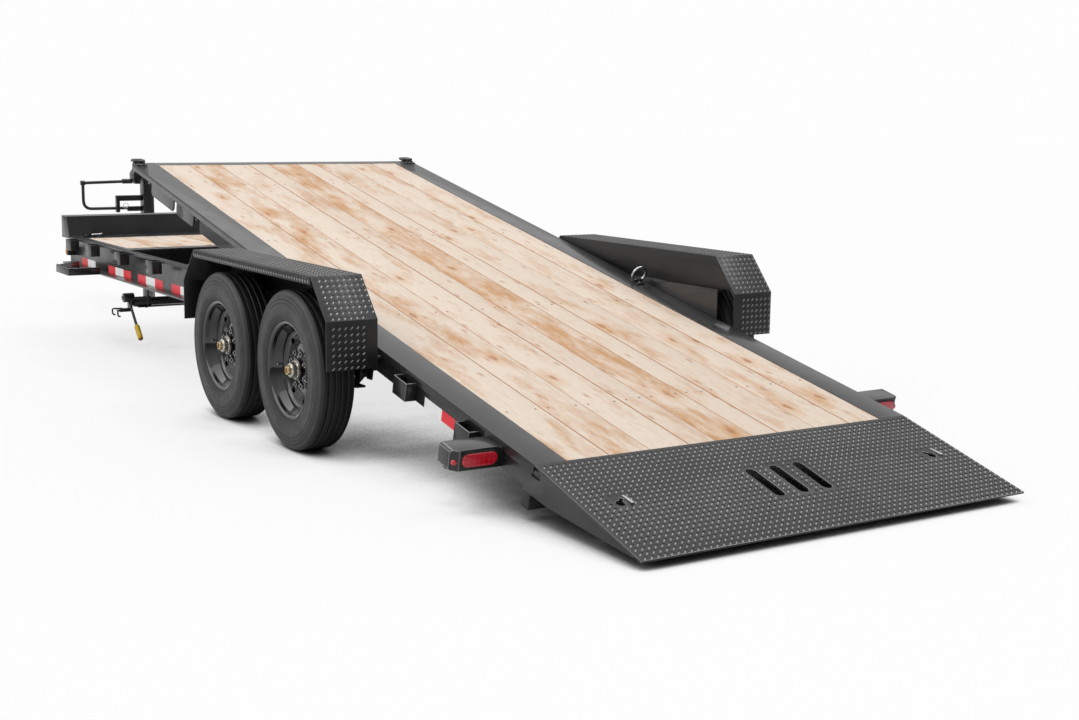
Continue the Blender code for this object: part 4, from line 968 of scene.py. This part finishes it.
for side, sign in SIDES:
    foot_z = DECK_TOP + 0.0005
    shackle("band_ring_" + side, "tilt_deck", (REAR_AXLE_X + 0.300, sign * 0.950, foot_z),
            (-0.22, 0, 0.975), (0, sign, 0), CHROME, True)
    shackle("strip_ring_" + side, "chassis", (REAR_AXLE_X + 4.345, sign * 0.930, foot_z),
            (0.0, -sign, 0.08), (1, 0, 0), CHROME, False, 0.047)

    # Ring at the deck's front corner, lying forward over the edge from its bolted strap
    front = REAR_AXLE_X + 3.186
    y = sign * 0.968
    corner = [bar("sleeve", (front - 0.024, y - 0.034, DECK_TOP + 0.0145),
                  (front - 0.024, y + 0.034, DECK_TOP + 0.0145), 0.0125, SATIN, 24, 0.001),
              slab("foot", (front - 0.083, y - 0.036, DECK_TOP + 0.0005),
                   (front - 0.005, y + 0.036, DECK_TOP + 0.0075), SATIN, 0.0016)]
    for bolt_y in (y - 0.018, y + 0.018):
        corner.append(bar("bolt", (front - 0.062, bolt_y, DECK_TOP + 0.006),
                          (front - 0.062, bolt_y, DECK_TOP + 0.015), 0.0085, SATIN, 6, 0.001))
    corner.append(bent_bar("ring", [(front - 0.024, y + 0.030, DECK_TOP + 0.0150),
                                    (front + 0.034, y + 0.039, DECK_TOP + 0.0120),
                                    (front + 0.034, y - 0.039, DECK_TOP + 0.0120),
                                    (front - 0.024, y - 0.030, DECK_TOP + 0.0150)],
                           0.0078, 0.026, SATIN))
    corner = join("corner_ring_" + side, corner)
    tilted(corner)
    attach(corner, "tilt_deck")
    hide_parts("tie_ring_" + side)

    # Amber marker at the front of the rail, on its bracket
    x = REAR_AXLE_X + 4.411
    bracket = slab("marker_bracket_" + side, (x - 0.026, sign * 1.019, 0.552),
                   (x + 0.026, sign * 1.078, 0.604), SATIN, 0.002)
    amber = lathe("front_marker_" + side, [(0.0, 0.0), (0.0190, 0.0), (0.0190, 0.003),
                  (0.0160, 0.0062), (0.0090, 0.0090), (0.0, 0.0098)],
                  (x, sign * 1.078, 0.578), (0, sign, 0), AMBER, 28)
    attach(bracket, "chassis")
    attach(amber, "chassis")

    # Toothed grip strip on the side step
    teeth = []
    first, last = REAR_AXLE_X + 3.640, REAR_AXLE_X + 3.915
    count = 22
    for k in range(count):
        tooth = first + (last - first) * k / (count - 1)
        for y in (1.256, 1.284):
            teeth.append(slab("tooth", (tooth - 0.0035, sign * (y - 0.005), 0.5355),
                              (tooth + 0.0035, sign * (y + 0.005), 0.5415), SATIN, 0.0014, 1))
    strip = join("step_teeth_" + side, teeth)
    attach(strip, "chassis")

    # Bent tab beside the hook hole of the approach plate
    slope = (DECK_TOP - PLATE_TIP_Z) / (PLATE_TOP_X - PLATE_TIP_X)
    top_z = PLATE_TIP_Z + (REAR_AXLE_X - 2.090 - PLATE_TIP_X) * slope
    low_y = 0.784 if sign > 0 else -0.884
    tab = slab("hook_tab_" + side, (REAR_AXLE_X - 2.125, low_y, top_z - 0.003),
               (REAR_AXLE_X - 2.055, low_y + 0.015, top_z + 0.006), STEEL, 0.0022)
    tilted(tab)
    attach(tab, "tilt_deck")

# Crank of the jack: out from the gear head, down, and back through its holder
x = REAR_AXLE_X + 5.860
crank = [bar("yoke", (x, 0.1263, 1.006), (x, 0.205, 1.006), 0.0200, SATIN, 24, 0.002),
         bar("upper", (x, 0.200, 1.0045), (x, 0.530, 0.996), 0.0125, SATIN, 24),
         bar("knuckle", (x, 0.514, 0.996), (x, 0.548, 0.996), 0.0200, SATIN, 24, 0.003),
         bent_bar("arm", [(x, 0.530, 1.000), (x, 0.530, 0.786), (x, 0.100, 0.786)], 0.0125, 0.070,
                  SATIN)]
crank = join("jack_crank_bar", crank)
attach(crank, "chassis")
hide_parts("jack_crank")
block = slab("crank_holder_block", (x - 0.016, 0.0450, 0.760), (x + 0.016, 0.168, 0.799), SATIN,
             0.002)
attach(block, "chassis")
clear()
bpy.ops.mesh.primitive_torus_add(major_radius=0.021, minor_radius=0.0026, major_segments=32,
                                 minor_segments=10, location=(x - 0.022, 0.189, 0.806),
                                 rotation=(0.3, math.radians(80), 0.2))
pin_ring = settle(bpy.context.object)
smooth(pin_ring, 60)
paint(pin_ring, CHROME)
pin = bar("pin", (x - 0.030, 0.181, 0.790), (x + 0.020, 0.181, 0.790), 0.0045, CHROME, 16, 0.001)
pin_ring = join("crank_pin", [pin_ring, pin])
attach(pin_ring, "chassis")

# Latch: square tube round the shaft, bolted lower plate and two chain hooks
x = REAR_AXLE_X + 3.215
latch = [slab("tube", (x - 0.024, 0.640, 0.316), (x + 0.024, 0.945, 0.364), SATIN, 0.003),
         slab("flat", (x - 0.030, 0.560, 0.303), (x + 0.030, 0.960, 0.309), SATIN, 0.0015),
         slab("lower", (x - 0.034, 1.010, 0.281), (x + 0.050, 1.087, 0.288), SATIN, 0.0015),
         slab("rib", (x - 0.030, 1.012, 0.288), (x - 0.022, 1.080, 0.305), SATIN, 0.0015),
         bent_bar("hook", [(x + 0.036, 1.050, 0.296), (x + 0.036, 1.117, 0.298),
                           (x + 0.030, 1.117, 0.262), (x + 0.024, 1.100, 0.258)], 0.0052, 0.011,
                  SATIN),
         bent_bar("hook", [(x - 0.020, 1.050, 0.294), (x - 0.020, 1.098, 0.292),
                           (x - 0.026, 1.100, 0.254), (x - 0.034, 1.084, 0.252)], 0.0052, 0.011,
                  SATIN)]
for bolt_x, bolt_y in ((x - 0.008, 1.030), (x + 0.020, 1.030), (x + 0.006, 1.066)):
    latch.append(bar("bolt", (bolt_x, bolt_y, 0.286), (bolt_x, bolt_y, 0.295), 0.0075, STEEL, 6,
                     0.0008))
latch.append(bar("nut", (x, 1.050, 0.370), (x, 1.063, 0.370), 0.0130, STEEL, 6, 0.001))
latch = join("latch_fittings", latch)
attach(latch, "chassis")

start = Vector((x + 0.012, 1.010, 0.343))
run = Vector((-0.697, 0.0, -0.717)).normalized()
ribs = [(0.0, 0.200), (0.0125, 0.2005)]
for k in range(7):
    ribs += [(0.0172, 0.206 + 0.014 * k), (0.0172, 0.216 + 0.014 * k), (0.0158, 0.2175 + 0.014 * k),
             (0.0158, 0.2185 + 0.014 * k)]
ribs += [(0.0172, 0.304), (0.0160, 0.3095), (0.0, 0.3100)]
grip = lathe("latch_grip_sleeve", ribs, start, run, YELLOW, 28)
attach(grip, "chassis")
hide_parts("latch_grip")
end = lathe("latch_grip_end", [(0.0, 0.3095), (0.0152, 0.3095), (0.0140, 0.3125), (0.0, 0.3135)],
            start, run, ORANGE, 28)
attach(end, "chassis")


# Studio

PHOTO_WIDTH = 1079
FOCAL_PIXELS = 1520.47
FLOOR_GLOW = 0.945


def studio():
    """Pale floor, soft light from above and the left, and the camera."""
    clear()
    bpy.ops.mesh.primitive_plane_add(size=160, location=(0, 0, -0.0005))
    floor = bpy.context.object
    floor.name = "studio_floor"
    n = Nodes("studio floor")
    # Pale and nearly shadowless to the eye, bright in reflections, dark as a source of light
    n.set(Base_Color=(0.92, 0.92, 0.92, 1.0), Roughness=0.9, Specular_IOR_Level=0.1)
    seen = n.add("ShaderNodeMixShader")
    seen.inputs[0].default_value = 0.80
    n.link(n.shader.outputs[0], seen.inputs[1])
    glow = n.add("ShaderNodeEmission", Color=(1.0, 1.0, 1.0, 1.0))
    n.link(glow.outputs[0], seen.inputs[2])
    # The floor glows only where it is open to the sky, so it stays dark under the lowered plate
    cover = n.add("ShaderNodeAmbientOcclusion", Distance=0.70)
    cover.samples = 8
    open_sky = n.ramp(cover.outputs["AO"], [(0.33, (0, 0, 0)), (0.60, (1, 1, 1))])
    n.link(n.math("MULTIPLY", open_sky, FLOOR_GLOW), glow.inputs["Strength"])
    dark = n.add("ShaderNodeBsdfDiffuse", Color=(0.14, 0.14, 0.14, 1.0))
    mirror = n.add("ShaderNodeBsdfDiffuse", Color=(0.60, 0.60, 0.60, 1.0))
    path = n.add("ShaderNodeLightPath")
    lit = n.add("ShaderNodeMixShader")
    n.link(path.outputs["Is Glossy Ray"], lit.inputs[0])
    n.link(dark.outputs[0], lit.inputs[1])
    n.link(mirror.outputs[0], lit.inputs[2])
    whole = n.add("ShaderNodeMixShader")
    n.link(path.outputs["Is Camera Ray"], whole.inputs[0])
    n.link(lit.outputs[0], whole.inputs[1])
    n.link(seen.outputs[0], whole.inputs[2])
    n.link(whole.outputs[0], n.tree.nodes["Material Output"].inputs["Surface"])
    paint(floor, n.owner)

    # The sky is bright overhead and ahead, dim near the horizon and behind; the eye sees white
    sky = Nodes("studio", bpy.data.worlds)
    bpy.context.scene.world = sky.owner
    split = sky.add("ShaderNodeSeparateXYZ")
    sky.link(sky.add("ShaderNodeTexCoord").outputs["Generated"], split.inputs[0])
    span = sky.add("ShaderNodeMapRange", From_Min=-1.0)
    sky.link(split.outputs["X"], span.inputs["Value"])
    height = sky.ramp(split.outputs["Z"], [(0.0, (0.30,) * 3), (0.16, (0.38,) * 3),
                                           (0.42, (0.92,) * 3), (1.0, (1.15,) * 3)])
    forward = sky.ramp(span.outputs["Result"], [(0.0, (0.42,) * 3), (0.62, (1.0,) * 3)])
    soft = sky.tree.nodes["Background"]
    sky.link(sky.blend("MULTIPLY", 1.0, height, forward), soft.inputs["Color"])
    white = sky.add("ShaderNodeBackground", Color=(0.985, 0.985, 0.985, 1.0))
    choice = sky.add("ShaderNodeMixShader")
    sky.link(sky.add("ShaderNodeLightPath").outputs["Is Camera Ray"], choice.inputs[0])
    sky.link(soft.outputs[0], choice.inputs[1])
    sky.link(white.outputs[0], choice.inputs[2])
    sky.link(choice.outputs[0], sky.tree.nodes["World Output"].inputs["Surface"])
    for name, direction, spread, power in (("overhead", (0.25, 0.30, 1.0), 70, 0.75),
                                           ("glint", (-0.245, -0.426, 0.872), 16, 0.55),
                                           ("side", (0.10, 1.0, 0.7), 35, 0.32)):
        light = bpy.data.lights.new(name, "SUN")
        light.angle = math.radians(spread)
        light.energy = power
        lamp = bpy.data.objects.new(name, light)
        bpy.context.scene.collection.objects.link(lamp)
        lamp.rotation_euler = Vector(direction).to_track_quat("Z", "Y").to_euler()

    # Camera solved from the photo
    yaw, pitch, roll = (math.radians(a) for a in (-32.7725, -9.1909, 0.7201))
    ahead = Vector((math.cos(pitch) * math.cos(yaw), math.cos(pitch) * math.sin(yaw),
                    math.sin(pitch)))
    right = Vector((math.sin(yaw), -math.cos(yaw), 0))
    up = right.cross(ahead)
    rolled_right = right * math.cos(roll) + up * math.sin(roll)
    rolled_up = up * math.cos(roll) - right * math.sin(roll)
    camera = bpy.data.cameras.new("camera")
    camera.sensor_width = 36.0
    camera.lens = FOCAL_PIXELS * camera.sensor_width / PHOTO_WIDTH
    camera.clip_end = 300.0
    view = bpy.data.objects.new("camera", camera)
    bpy.context.scene.collection.objects.link(view)
    view.matrix_world = Matrix((rolled_right, rolled_up, -ahead)).transposed().to_4x4()
    view.location = (-6.609 + REAR_AXLE_X, 4.1194, 1.5962)
    bpy.context.scene.camera = view
    bpy.context.scene.view_settings.view_transform = "Standard"


studio()
bpy.context.view_layer.update()
